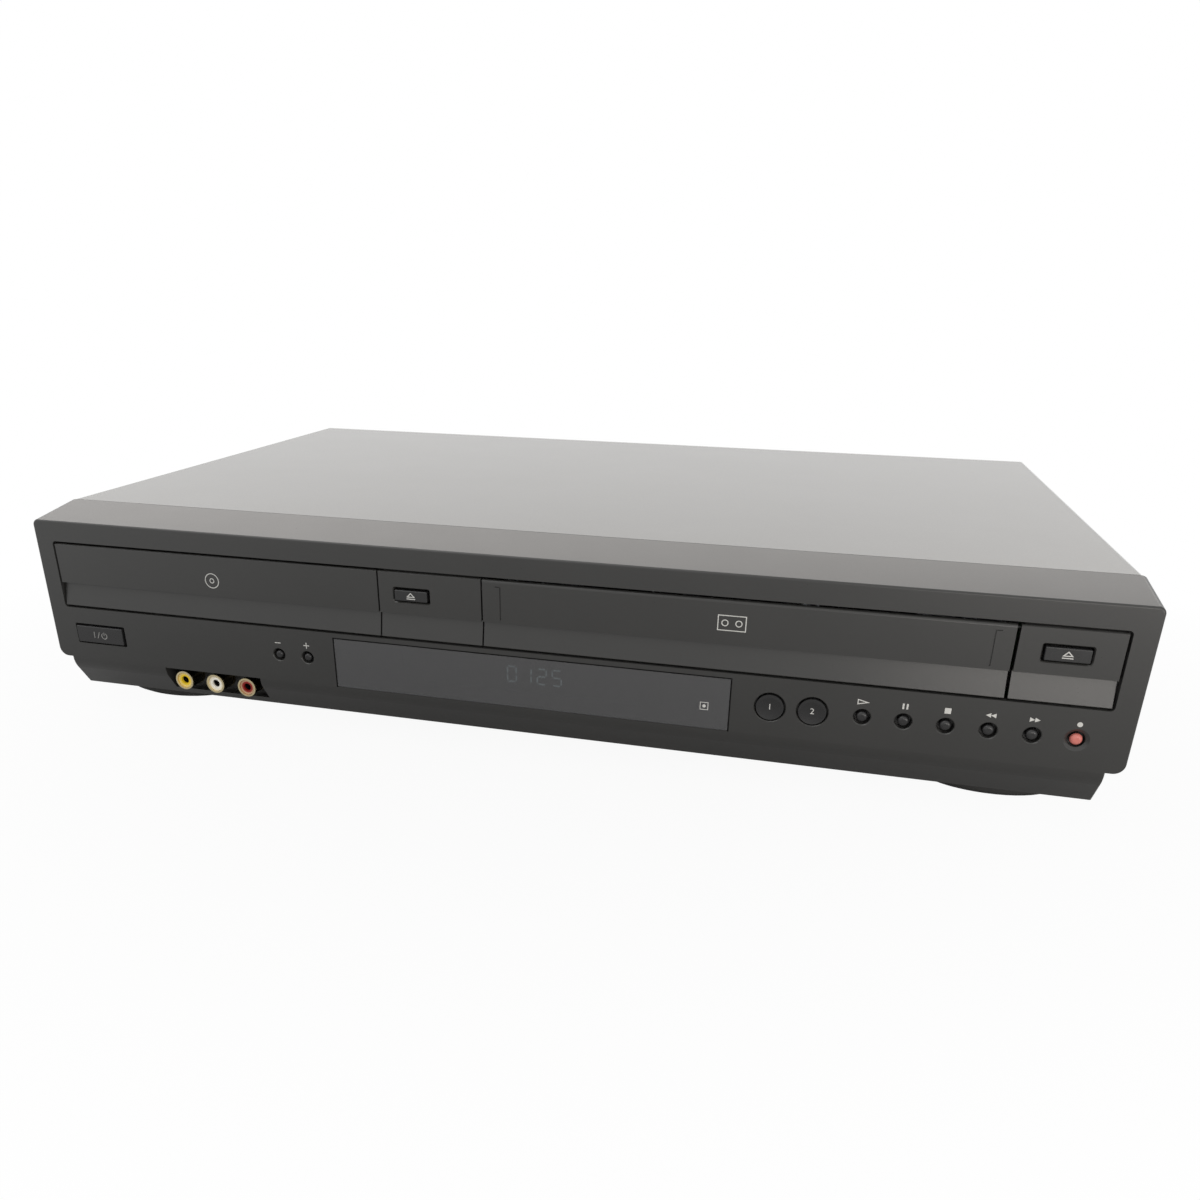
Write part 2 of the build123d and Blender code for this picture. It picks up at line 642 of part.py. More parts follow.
# Steel pan with its posts
with BuildPart() as chassis_base:
    block((-PAN_HALF, PAN_HALF), (SEAM_Y, BACK), (FOOT_HEIGHT, PAN_TOP))
    for span in side_spans(0, PAN_HALF - SHEET, PAN_HALF):
        block(span, (SEAM_Y, REAR_IN), (FOOT_HEIGHT, FOOT_HEIGHT + PAN_FLANGE))
    block((-PAN_HALF, PAN_HALF), (SEAM_Y, SEAM_Y + SHEET), (FOOT_HEIGHT, FOOT_HEIGHT + PAN_FLANGE))
    for x in LOADER_POST_X:
        for y in LOADER_POST_Y:
            rod_z(x, y, LOADER_POST, (PAN_TOP, FLOOR_Z))
    for x in about(TAPE_X, PLATE_OUT - DECK_POST_INSET):
        for y in (DECK_FRONT + DECK_POST_INSET, DECK_BACK - DECK_POST_INSET):
            rod_z(x, y, LOADER_POST, (PAN_TOP, DECK_LOW))
    for x in (MAIN_LEFT + MAIN_POST_INSET, MAIN_RIGHT - MAIN_POST_INSET):
        for y in (SEAM_Y + MAIN_POST_START, BOARD_REAR - MAIN_POST_INSET):
            rod_z(x, y, POST_RADIUS, (PAN_TOP, MAIN_Z))
    power_front = BOARD_REAR - POWER_BOARD_DEPTH
    for x in (MAIN_RIGHT + POWER_POST_START, PAN_HALF - POWER_POST_END):
        for y in (power_front + POWER_POST_INSET, BOARD_REAR - POWER_POST_INSET):
            rod_z(x, y, POST_RADIUS, (PAN_TOP, MAIN_Z))
    with BuildSketch(Plane.XY.offset(FOOT_HEIGHT)) as pan_vents:
        with Locations((DISC_X, (SEAM_Y + BACK) / 2), (TAPE_X, (SEAM_Y + BACK) / 2)):
            with GridLocations(VENT_PITCH, 2 * VENT_SIZE[0], VENT_COUNT, 2):
                SlotOverall(VENT_SIZE[0], VENT_SIZE[1], rotation=90)
    extrude(amount=SHEET, mode=Mode.SUBTRACT)
    for x in (-PAN_HALF, PAN_HALF):
        for y in SIDE_SCREW_Y:
            rod_x(y, SIDE_SCREW_Z, SCREW_RADIUS + SCREW_GAP, about(x, SCREW_CUT), Mode.SUBTRACT)
finish(chassis_base, "chassis_base")

# Folded top cover
with BuildPart() as top_cover:
    with BuildSketch(Plane.XZ.offset(-SEAM_Y - SEAM)) as cover_profile:
        with BuildLine():
            Polyline(
                (-COVER_HALF, FOOT_HEIGHT + COVER_LIFT),
                (-COVER_HALF, HEIGHT),
                (COVER_HALF, HEIGHT),
                (COVER_HALF, FOOT_HEIGHT + COVER_LIFT),
                (COVER_HALF - SHEET, FOOT_HEIGHT + COVER_LIFT),
                (COVER_HALF - SHEET, HEIGHT - SHEET),
                (-COVER_HALF + SHEET, HEIGHT - SHEET),
                (-COVER_HALF + SHEET, FOOT_HEIGHT + COVER_LIFT),
                close=True,
            )
        make_face()
        corners = cover_profile.vertices()
        fillet([v for v in corners if abs(v.Y - HEIGHT) < NEAR], COVER_BEND)
        corners = cover_profile.vertices()
        fillet([v for v in corners if abs(v.Y - HEIGHT + SHEET) < NEAR], COVER_BEND - SHEET)
    extrude(amount=-(BACK + SHEET - SEAM_Y - SEAM))
    block(
        (-COVER_HALF + COVER_BEND, COVER_HALF - COVER_BEND),
        (BACK, BACK + SHEET),
        (HEIGHT - COVER_LIP, HEIGHT - SHEET / 2),
    )
    with BuildSketch(Plane.YZ.offset(-COVER_HALF - OVER)) as side_vents:
        with Locations((BACK - SIDE_VENT_INSET, (HEIGHT + FOOT_HEIGHT) / 2 + SIDE_VENT_RISE)):
            with GridLocations(VENT_PITCH, 1, VENT_COUNT, 1):
                SlotOverall(VENT_SIZE[0], VENT_SIZE[1], rotation=90)
    extrude(amount=2 * (COVER_HALF + OVER), mode=Mode.SUBTRACT)
    for x in (-COVER_HALF, COVER_HALF):
        for y in SIDE_SCREW_Y:
            rod_x(y, SIDE_SCREW_Z, SCREW_RADIUS + SCREW_GAP, about(x, SCREW_CUT), Mode.SUBTRACT)
    for x in REAR_SCREW_X:
        rod_y(x, REAR_SCREW_Z, SCREW_RADIUS + SCREW_GAP, about(BACK, SCREW_CUT), Mode.SUBTRACT)
finish(top_cover, "top_cover")

# Rear panel with its socket holes
with BuildPart() as rear_panel:
    block((-PAN_HALF, PAN_HALF), (REAR_IN, BACK), (PAN_TOP, HEIGHT - SHEET))
    flange_y = (BOARD_REAR + REAR_FLANGE_GAP, REAR_IN)
    for low in (PAN_TOP, HEIGHT - 2 * SHEET):
        block(about(0, PAN_HALF - REAR_FLANGE_INSET), flange_y, (low, low + SHEET))
    corners = [e for e in rear_panel.edges().filter_by(Axis.Y) if e.center().Y > REAR_IN]
    fillet([e for e in corners if e.center().Z > HEIGHT - SHEET - NEAR], COVER_BEND)
    through = (REAR_IN - OVER, BACK + OVER)
    for z in REAR_Z:
        for x in REAR_X:
            rod_y(x, z, SHELL_RADIUS + HOLE_GAP, through, Mode.SUBTRACT)
    for z in AERIAL_Z:
        rod_y(AERIAL_X, z, AERIAL_RADIUS + HOLE_GAP, through, Mode.SUBTRACT)
    rod_y(GLAND_X, GLAND_Z, GLAND_RADIUS + RUN, through, Mode.SUBTRACT)
    for x in REAR_SCREW_X:
        rod_y(x, REAR_SCREW_Z, SCREW_RADIUS + SCREW_GAP, through, Mode.SUBTRACT)
    with BuildSketch(Plane.XZ.offset(-BACK - OVER)) as rear_vents:
        with Locations((TAPE_X, (HEIGHT + FOOT_HEIGHT) / 2 + REAR_VENT_RISE)):
            with GridLocations(VENT_PITCH, 1, VENT_COUNT, 1):
                SlotOverall(VENT_SIZE[0], VENT_SIZE[1], rotation=90)
    extrude(amount=SHEET + 2 * OVER, mode=Mode.SUBTRACT)
finish(rear_panel, "rear_panel")

# Feet and their pads
with BuildPart() as feet:
    with BuildSketch(Plane.XY.offset(PAD_THICK)) as foot_plan:
        for y in FOOT_Y:
            with Locations((-FOOT_SPREAD, y), (FOOT_SPREAD, y)):
                Ellipse(FOOT_LONG, FOOT_SHORT)
    extrude(amount=FOOT_HEIGHT - PAD_THICK)
    fillet(feet.edges().group_by(Axis.Z)[0], FOOT_ROUND)
finish(feet, "feet")

with BuildPart() as foot_pads:
    with BuildSketch(Plane.XY) as pad_plan:
        for y in FOOT_Y:
            with Locations((-FOOT_SPREAD, y), (FOOT_SPREAD, y)):
                Ellipse(FOOT_LONG - PAD_INSET, FOOT_SHORT - PAD_INSET)
    extrude(amount=PAD_THICK)
finish(foot_pads, "foot_pads")

# Screws that hold the cover
with BuildPart() as case_screws:
    for side in (-1, 1):
        for y in SIDE_SCREW_Y:
            head = sorted((side * COVER_HALF, side * (COVER_HALF + SCREW_HEAD_THICK)))
            shank = sorted((side * (COVER_HALF - SCREW_LENGTH), side * (COVER_HALF + SCREW_HEAD_THICK)))
            rod_x(y, SIDE_SCREW_Z, SCREW_HEAD, head)
            rod_x(y, SIDE_SCREW_Z, SCREW_RADIUS, shank)
    for x in REAR_SCREW_X:
        rod_y(x, REAR_SCREW_Z, SCREW_HEAD, (BACK + SHEET, BACK + SHEET + SCREW_HEAD_THICK))
        rod_y(x, REAR_SCREW_Z, SCREW_RADIUS, (BACK + SHEET - SCREW_LENGTH, BACK + SHEET))
finish(case_screws, "case_screws")

# Cord gland in the rear panel
with BuildPart() as cord_gland:
    rod_y(GLAND_X, GLAND_Z, GLAND_RADIUS, (REAR_IN - GLAND_FLANGE, BACK + GLAND_FLANGE))
    rod_y(GLAND_X, GLAND_Z, GLAND_RADIUS + GLAND_LIP, (BACK, BACK + GLAND_FLANGE))
    rod_y(GLAND_X, GLAND_Z, GLAND_RADIUS + GLAND_LIP, (REAR_IN - GLAND_FLANGE, REAR_IN))
    bore = (REAR_IN - GLAND_FLANGE - OVER, BACK + GLAND_FLANGE + OVER)
    rod_y(GLAND_X, GLAND_Z, GLAND_BORE, bore, Mode.SUBTRACT)
finish(cord_gland, "cord_gland")

# Chin below the face: a soft bend, then a straight rake
CHIN_SLOPE = CHIN_RAKE / (CHIN_HEIGHT - CHIN_BEND)
CHIN_SLANT = math.sqrt(1 + CHIN_SLOPE**2)
BEND_Y = FRONT + CHIN_BEND * CHIN_SLOPE / CHIN_SLANT
BEND_Z = FACE_BOTTOM - CHIN_BEND - CHIN_BEND / CHIN_SLANT
with BuildPart() as chin:
    with BuildSketch(Plane.YZ) as chin_profile:
        with BuildLine():
            bend = TangentArc((FRONT, FACE_BOTTOM), (BEND_Y, BEND_Z), tangent=(0, -1))
            Polyline(
                bend @ 1,
                (FRONT + CHIN_RAKE, FOOT_HEIGHT),
                (SEAM_Y, FOOT_HEIGHT),
                (SEAM_Y, FACE_BOTTOM + PANEL_WALL),
                (FRONT, FACE_BOTTOM + PANEL_WALL),
                (FRONT, FACE_BOTTOM),
            )
        make_face()
    extrude(amount=CHIN_HALF, both=True)
    raked = [e for e in chin.edges() if abs(abs(e.center().X) - CHIN_HALF) < NEAR]
    raked = [e for e in raked if FOOT_HEIGHT + NEAR < e.center().Z < FACE_BOTTOM]
    fillet([e for e in raked if e.center().Y < FRONT + CHIN_RAKE], CHIN_EDGE)

# Hollow of the chin, less the walls of the socket pocket
CHIN_IN = FRONT + PANEL_WALL * CHIN_SLANT
with BuildPart() as chin_hollow:
    with BuildSketch(Plane.YZ) as chin_hollow_profile:
        turn = FACE_BOTTOM - CHIN_BEND + PANEL_WALL * (CHIN_SLANT - 1) / CHIN_SLOPE
        Polygon(
            (WALL_BACK, FACE_BOTTOM + PANEL_WALL + OVER),
            (WALL_BACK, turn),
            (CHIN_IN + CHIN_SLOPE * (FACE_BOTTOM - CHIN_BEND - POCKET_LOW), POCKET_LOW),
            (SEAM_Y + OVER, POCKET_LOW),
            (SEAM_Y + OVER, FACE_BOTTOM + PANEL_WALL + OVER),
            align=None,
        )
    extrude(amount=CHIN_HALF - PANEL_WALL, both=True)
    half = POCKET_WIDTH / 2 + POCKET_WALL
    block(
        about(SOCKET_X, half),
        (FRONT, BLOCK_FACE),
        (FOOT_HEIGHT, FACE_BOTTOM + POCKET_WALL),
        Mode.SUBTRACT,
    )

# Front panel moulding
with BuildPart() as front_panel:
    with BuildSketch(Plane.YZ) as face_profile:
        Polygon(
            (FRONT, FACE_BOTTOM),
            (FRONT, FACE_TOP),
            (SEAM_Y, HEIGHT),
            (SEAM_Y, FACE_BOTTOM),
            align=None,
        )
    extrude(amount=WIDTH / 2, both=True)
    ends = [e for e in front_panel.edges() if abs(abs(e.center().X) - WIDTH / 2) < NEAR]
    fillet([e for e in ends if abs(e.center().Z - FACE_BOTTOM) < NEAR], FACE_CORNER)
    ends = [e for e in front_panel.edges() if abs(abs(e.center().X) - WIDTH / 2) < NEAR]
    fillet([e for e in ends if e.center().Z > FACE_TOP], PANEL_CORNER)
    fillet(front_panel.faces().sort_by(Axis.Y)[0].edges(), PANEL_EDGE)
    add(chin.part)
    slope = TOP_DROP / PANEL_DEPTH
    roof = PANEL_WALL * math.sqrt(1 + slope**2)
    with BuildSketch(Plane.YZ) as hollow_profile:
        with BuildLine():
            Polyline(
                (WALL_BACK, FACE_BOTTOM + PANEL_WALL),
                (WALL_BACK, FACE_TOP + slope * PANEL_WALL - roof),
                (SEAM_Y + OVER, HEIGHT + slope * OVER - roof),
                (SEAM_Y + OVER, FACE_BOTTOM + PANEL_WALL),
                close=True,
            )
        make_face()
    extrude(amount=WIDTH / 2 - PANEL_WALL, both=True, mode=Mode.SUBTRACT)
    add(chin_hollow.part, mode=Mode.SUBTRACT)
    with BuildSketch(Plane.XZ.offset(-FRONT + OVER)) as band_opening:
        with Locations((0, (BAND_BOTTOM + BAND_TOP) / 2)):
            RectangleRounded(2 * BAND_HALF, BAND_HEIGHT, BAND_CORNER)
        with Locations((WINDOW_X, WINDOW_LOW + WINDOW_HEIGHT / 2)):
            Rectangle(WINDOW_WIDTH, WINDOW_HEIGHT)
        with Locations((POWER_X, POWER_Z)):
            RectangleRounded(POWER_SIZE[0], POWER_SIZE[1], POWER_CORNER)
        for x in TRACK_X:
            with Locations((x, ROW)):
                Circle(TRACK_HOLE)
        for x in SELECT_X:
            with Locations((x, ROW)):
                Circle(SELECT_HOLE)
        for x in TRANSPORT_X:
            with Locations((x, ROW)):
                Circle(TRANSPORT_HOLE)
    extrude(amount=-(PANEL_WALL + 2 * OVER), mode=Mode.SUBTRACT)
    rims = front_panel.edges().filter_by(GeomType.CIRCLE)
    rims = [e for e in rims if abs(e.arc_center.Y - FRONT) < NEAR and abs(e.arc_center.Z - ROW) < NEAR]
    chamfer([e for e in rims if abs(e.arc_center.X - TRANSPORT_X[5]) > TRANSPORT_HOLE], HOLE_BEVEL)
    with Locations((TRANSPORT_X[5], FRONT + DISH_DEPTH / 2, ROW)):
        Cone(TRANSPORT_HOLE, RECORD_DISH, DISH_DEPTH, rotation=(90, 0, 0), mode=Mode.SUBTRACT)
    webs = [
        (DISC_RIGHT + WEB_INSET, TAPE_LEFT - WEB_INSET),
        (TAPE_RIGHT + WEB_INSET, WIDTH / 2 - PANEL_WALL / 2),
    ]
    for web in webs:
        block(web, (WALL_BACK, WEB_BACK), (BAND_BOTTOM - WEB_FOOT, BAND_TOP + WEB_HEAD))
    block(
        about(SOCKET_X, POCKET_WIDTH / 2),
        (FRONT - OVER, POCKET_BACK),
        (POCKET_LOW, POCKET_HIGH),
        Mode.SUBTRACT,
    )
    for i in (-1, 0, 1):
        rod_y(
            SOCKET_X + i * SOCKET_PITCH,
            SOCKET_Z,
            SHELL_RADIUS + HOLE_GAP,
            (POCKET_BACK - OVER, BLOCK_FACE + OVER),
            Mode.SUBTRACT,
        )
    for x, size in ((DISC_EJECT_X, DISC_EJECT_SIZE), (TAPE_EJECT_X, TAPE_EJECT_SIZE)):
        block(
            about(x, size[0] / 2),
            (WALL_BACK - OVER, WEB_BACK + OVER),
            about(EJECT_ROW, size[1] / 2),
            Mode.SUBTRACT,
        )
        for side in (-1, 1):
            post_z = EJECT_ROW + side * (EJECT_BOARD[1] / 2 - BOARD_POST)
            rod_y(x, post_z, BOARD_POST, (WEB_BACK - POST_ROOT, BOARD_FRONT))
    posts = [POWER_X + POST_REACH[0], TRACK_X[0] - POST_REACH[1]]
    posts += [TRANSPORT_X[0] - POST_REACH[2], TRANSPORT_X[5] + POST_REACH[3]]
    for x in posts:
        rod_y(x, BOARD_LOW + BOARD_POST, BOARD_POST, (WALL_BACK - POST_ROOT, BOARD_FRONT))
finish(front_panel, "front_panel")

# Smoked window
with BuildPart() as display_window:
    block(
        (WINDOW_LEFT + SEAM, WINDOW_RIGHT - SEAM),
        (FRONT + WINDOW_STEP, WALL_BACK + WINDOW_THICK / 2),
        (WINDOW_LOW + WINDOW_SILL, WINDOW_LOW + WINDOW_HEIGHT - SEAM),
    )
    block(
        (WINDOW_LEFT - WINDOW_LIP, WINDOW_RIGHT + WINDOW_LIP),
        (WALL_BACK, WALL_BACK + WINDOW_THICK / 2),
        (WINDOW_LOW, WINDOW_LOW + WINDOW_HEIGHT + WINDOW_LIP_HEAD),
    )
finish(display_window, "display_window")


def hole_rim(piece, x, size):
    """Front edges of an eject opening."""
    near = [e for e in piece.edges() if abs(e.center().Y - BAND_FACE) < NEAR]
    near = [e for e in near if abs(e.center().X - x) < size[0] / 2 + NEAR]
    return [e for e in near if abs(e.center().Z - EJECT_ROW) < size[1] / 2 + NEAR]


# Fixed trims around the eject buttons
with BuildPart() as disc_eject_trim:
    with BuildSketch(Plane.YZ.offset(DISC_RIGHT + SEAM / 2)) as disc_trim_profile:
        band_profile(WALL_BACK)
    extrude(amount=TAPE_LEFT - DISC_RIGHT - SEAM)
    with BuildSketch(Plane.XZ.offset(-BAND_FACE)) as disc_eject_hole:
        with Locations((DISC_EJECT_X, EJECT_ROW)):
            RectangleRounded(DISC_EJECT_SIZE[0], DISC_EJECT_SIZE[1], EJECT_CORNER)
    extrude(amount=-PANEL_WALL, mode=Mode.SUBTRACT)
    chamfer(hole_rim(disc_eject_trim, DISC_EJECT_X, DISC_EJECT_SIZE), EJECT_BEVEL)
    rod_x(
        HINGE_Y,
        HINGE_Z,
        DOOR_ROD_RADIUS + RUN,
        (TAPE_LEFT - DOOR_ROD_REACH - SEAM, TAPE_LEFT + OVER),
        Mode.SUBTRACT,
    )
finish(disc_eject_trim, "disc_eject_trim")

with BuildPart() as tape_eject_trim:
    with BuildSketch(Plane.YZ.offset(TAPE_RIGHT + SEAM / 2)) as tape_trim_profile:
        band_profile(WALL_BACK)
    extrude(amount=BAND_HALF - TAPE_RIGHT - SEAM / 2 - TRIM_GAP)
    with BuildSketch(Plane.XZ.offset(-BAND_FACE)) as tape_eject_hole:
        with Locations((TAPE_EJECT_X, EJECT_ROW)):
            RectangleRounded(TAPE_EJECT_SIZE[0], TAPE_EJECT_SIZE[1], EJECT_CORNER)
    extrude(amount=-PANEL_WALL, mode=Mode.SUBTRACT)
    chamfer(hole_rim(tape_eject_trim, TAPE_EJECT_X, TAPE_EJECT_SIZE), EJECT_BEVEL)
    rod_x(
        HINGE_Y,
        HINGE_Z,
        DOOR_ROD_RADIUS + RUN,
        (TAPE_RIGHT - OVER, TAPE_RIGHT + DOOR_ROD_REACH + SEAM),
        Mode.SUBTRACT,
    )
finish(tape_eject_trim, "tape_eject_trim")


def stem(x, z, seat):
    """Stem that reaches from a button's flange to its switch."""
    rod_y(x, z, STEM_RADIUS, (seat + SEAM, STEM_END))


def bar_button(x, z, size, gap, face, seat):
    """Oblong cap in its opening, a flange behind the wall and a stem."""
    wide = size[0] - 2 * gap
    tall = size[1] - 2 * gap
    with BuildSketch(Plane.XZ.offset(-face + BUTTON_PROUD)) as cap:
        with Locations((x, z)):
            RectangleRounded(wide, tall, BAR_CORNER)
    extrude(cap.sketch, amount=-(seat + SEAM + FLANGE_THICK - face + BUTTON_PROUD))
    block(
        (x - size[0] / 2 - FLANGE_LIP, x + size[0] / 2 + FLANGE_LIP),
        (seat + SEAM, seat + SEAM + FLANGE_THICK),
        (z - size[1] / 2 - FLANGE_LIP, z + size[1] / 2 + FLANGE_LIP),
    )
    stem(x, z, seat)


def round_button(x, z, cap, hole, face):
    """Round cap in its hole, a flange behind the wall and a stem."""
    rod_y(x, z, cap, (face, WALL_BACK + SEAM + FLANGE_THICK))
    rod_y(x, z, hole + FLANGE_LIP, (WALL_BACK + SEAM, WALL_BACK + SEAM + FLANGE_THICK))
    stem(x, z, WALL_BACK)


def front_rim(piece, y):
    """Edges of a button that lie in its front face."""
    return [e for e in piece.edges() if abs(e.center().Y - y) < NEAR]


# Power button
with BuildPart() as power_button:
    bar_button(POWER_X, POWER_Z, POWER_SIZE, POWER_GAP, FRONT, WALL_BACK)
    fillet(front_rim(power_button, FRONT - BUTTON_PROUD), BAR_ROUND)
finish(power_button, "power_button")

# Eject buttons
with BuildPart() as disc_eject_button:
    bar_button(DISC_EJECT_X, EJECT_ROW, DISC_EJECT_SIZE, EJECT_GAP, BAND_FACE, WEB_BACK)
    fillet(front_rim(disc_eject_button, BAND_FACE - BUTTON_PROUD), BAR_ROUND)
finish(disc_eject_button, "disc_eject_button")

with BuildPart() as tape_eject_button:
    bar_button(TAPE_EJECT_X, EJECT_ROW, TAPE_EJECT_SIZE, EJECT_GAP, BAND_FACE, WEB_BACK)
    fillet(front_rim(tape_eject_button, BAND_FACE - BUTTON_PROUD), BAR_ROUND)
finish(tape_eject_button, "tape_eject_button")

# Tracking buttons
for x, name in zip(TRACK_X, ("tracking_minus", "tracking_plus")):
    with BuildPart() as tracking_button:
        round_button(x, ROW, TRACK_CAP, TRACK_HOLE, FRONT)
        fillet(front_rim(tracking_button, FRONT), TRACK_ROUND)
    finish(tracking_button, f"{name}_button")

# Select buttons with a finger dish
for x, name in zip(SELECT_X, ("select_disc", "select_tape")):
    with BuildPart() as select_button:
        round_button(x, ROW, SELECT_CAP, SELECT_HOLE, FRONT - SELECT_PROUD)
        with Locations((x, FRONT - SELECT_PROUD + SELECT_DIP - SELECT_DISH, ROW - SELECT_DISH_DROP)):
            Sphere(SELECT_DISH, mode=Mode.SUBTRACT)
    finish(select_button, f"{name}_button")

# Transport buttons
for x, name in zip(TRANSPORT_X, ("play", "pause", "stop", "rewind", "fast_forward", "record")):
    with BuildPart() as transport_button:
        round_button(x, ROW, TRANSPORT_CAP, TRANSPORT_HOLE, FRONT - TRANSPORT_PROUD)
        fillet(front_rim(transport_button, FRONT - TRANSPORT_PROUD), TRANSPORT_ROUND)
    finish(transport_button, f"{name}_button")

# Circuit boards
with BuildPart() as circuit_boards:
    row_half = WIDTH / 2 - PANEL_WALL - BOARD_SIDE_GAP
    block(about(0, row_half), (BOARD_FRONT, BOARD_BACK), (BOARD_LOW, BOARD_HIGH))
    for x in (DISC_EJECT_X, TAPE_EJECT_X):
        block(
            about(x, EJECT_BOARD[0] / 2),
            (BOARD_FRONT, BOARD_BACK),
            about(EJECT_ROW, EJECT_BOARD[1] / 2),
        )
    block((MAIN_LEFT, MAIN_RIGHT), (SEAM_Y + MAIN_START, BOARD_REAR), (MAIN_Z, MAIN_TOP))
    for x in LOADER_POST_X:
        for y in LOADER_POST_Y:
            rod_z(x, y, LOADER_POST + POST_CLEAR, (MAIN_Z - OVER, MAIN_TOP + OVER), Mode.SUBTRACT)
    power_x = (MAIN_RIGHT + POWER_BOARD_START, PAN_HALF - POWER_BOARD_EDGE)
    block(power_x, (power_front, BOARD_REAR), (MAIN_Z, MAIN_TOP))
finish(circuit_boards, "circuit_boards")

# Power parts
POWER_Y = BOARD_REAR - POWER_BOARD_DEPTH / 2
with BuildPart() as transformer:
    core = TAPE_X + CORE_START
    for low in (MAIN_TOP, MAIN_TOP + CORE_TALL - CORE_YOKE):
        block((core, core + CORE_WIDE), about(POWER_Y, CORE_DEEP / 2), (low, low + CORE_YOKE))
    middle = core + CORE_WIDE / 2
    tall = (MAIN_TOP, MAIN_TOP + CORE_TALL)
    block(about(middle, COIL_WIDE / 2), about(POWER_Y, COIL_DEEP / 2), tall)
    for span in side_spans(middle, CORE_WIDE / 2 - CORE_LIMB, CORE_WIDE / 2):
        block(span, about(POWER_Y, LIMB_DEEP / 2), tall)
finish(transformer, "transformer")

with BuildPart() as capacitors:
    rod_z(TAPE_X + LARGE_CAN_START, POWER_Y, LARGE_CAN, (MAIN_TOP, MAIN_TOP + LARGE_CAN_TALL))
    for i in range(5):
        x = TAPE_X - SMALL_CAN_START + i * SMALL_CAN_PITCH
        y = POWER_Y + SMALL_CAN_SHIFT * (-1) ** i
        rod_z(x, y, SMALL_CAN, (MAIN_TOP, MAIN_TOP + SMALL_CAN_TALL))
finish(capacitors, "capacitors")

# Push switches behind the buttons
with BuildPart() as push_switches:
    row_x = [POWER_X] + TRACK_X + SELECT_X + TRANSPORT_X
    places = [(x, ROW) for x in row_x]
    places += [(DISC_EJECT_X, EJECT_ROW), (TAPE_EJECT_X, EJECT_ROW)]
    for x, z in places:
        half = SWITCH_SIZE / 2
        block(about(x, half), (SWITCH_FACE, BOARD_FRONT), about(z, half))
finish(push_switches, "push_switches")

# Display module
with BuildPart() as display_module:
    tall = (ROW - DISPLAY_FOOT, ROW + DISPLAY_HEAD)
    block(about(WINDOW_X, DISPLAY_HALF), (FRONT + DISPLAY_SETBACK, BOARD_FRONT), tall)
    fillet(display_module.edges().filter_by(Axis.X), DISPLAY_ROUND)
finish(display_module, "display_module")

# Sockets
FRONT_SOCKETS = [SOCKET_X + i * SOCKET_PITCH for i in (-1, 0, 1)]
SHELL_FRONT = POCKET_BACK - FRONT_REACH
SHELL_REAR = BACK + SOCKET_REACH
REAR_SOCKETS = [(x, z) for z in REAR_Z for x in REAR_X]
with BuildPart() as socket_blocks:
    half = SOCKET_PITCH + SHELL_RADIUS + BLOCK_SIDE
    block_back = BLOCK_FACE + BLOCK_DEPTH
    block(about(SOCKET_X, half), (BLOCK_FACE, block_back), (POCKET_LOW, FACE_BOTTOM - BLOCK_HEAD_GAP))
    block(
        (REAR_X[0] - REAR_BLOCK_MARGIN, REAR_X[-1] + REAR_BLOCK_MARGIN),
        (REAR_IN - REAR_BLOCK_DEPTH, REAR_IN),
        (MAIN_TOP, REAR_Z[1] + REAR_BLOCK_MARGIN),
    )
finish(socket_blocks, "socket_blocks")

with BuildPart() as socket_shells:
    for x in FRONT_SOCKETS:
        rod_y(x, SOCKET_Z, SHELL_RADIUS, (SHELL_FRONT, BLOCK_FACE))
        rod_y(x, SOCKET_Z, SHELL_RADIUS + COLLAR, (POCKET_BACK, BLOCK_FACE))
        rod_y(x, SOCKET_Z, SHELL_BORE, (SHELL_FRONT - OVER, BLOCK_FACE + OVER), Mode.SUBTRACT)
    for x, z in REAR_SOCKETS:
        rod_y(x, z, SHELL_RADIUS, (REAR_IN, SHELL_REAR))
        rod_y(x, z, SHELL_RADIUS + COLLAR, (REAR_IN, BACK))
        rod_y(x, z, SHELL_BORE, (REAR_IN - OVER, SHELL_REAR + OVER), Mode.SUBTRACT)
finish(socket_shells, "socket_shells")

with BuildPart() as socket_inserts:
    for x in FRONT_SOCKETS:
        start = SHELL_FRONT + INSERT_SETBACK
        rod_y(x, SOCKET_Z, SHELL_BORE - RUN, (start, BLOCK_FACE))
        rod_y(x, SOCKET_Z, CONTACT_RADIUS, (start - OVER, start + CONTACT_DEPTH), Mode.SUBTRACT)
    for x, z in REAR_SOCKETS:
        start = SHELL_REAR - INSERT_SETBACK
        rod_y(x, z, SHELL_BORE - RUN, (REAR_IN, start))
        rod_y(x, z, CONTACT_RADIUS, (start - CONTACT_DEPTH, start + OVER), Mode.SUBTRACT)
finish(socket_inserts, "socket_inserts")

# Tuner can with its two aerial sockets
with BuildPart() as tuner_module:
    can_y = (REAR_IN - TUNER_DEEP, REAR_IN)
    block(about(AERIAL_X, TUNER_HALF), can_y, (MAIN_TOP, AERIAL_Z[1] + TUNER_HEAD))
    for z in AERIAL_Z:
        rod_y(AERIAL_X, z, AERIAL_RADIUS, (REAR_IN - OVER, SHELL_REAR))
        rod_y(AERIAL_X, z, AERIAL_RADIUS + COLLAR, (REAR_IN - OVER, BACK))
        rod_y(AERIAL_X, z, AERIAL_HOLE, (REAR_IN, SHELL_REAR + OVER), Mode.SUBTRACT)
finish(tuner_module, "tuner_module")

# Disc tray front
with BuildPart() as tray_front:
    with BuildSketch(Plane.YZ.offset(DISC_LEFT + END_GAP)) as tray_front_profile:
        band_profile(TRAY_FRONT)
    extrude(amount=DISC_WIDTH - 2 * END_GAP)
finish(tray_front, "tray_front")

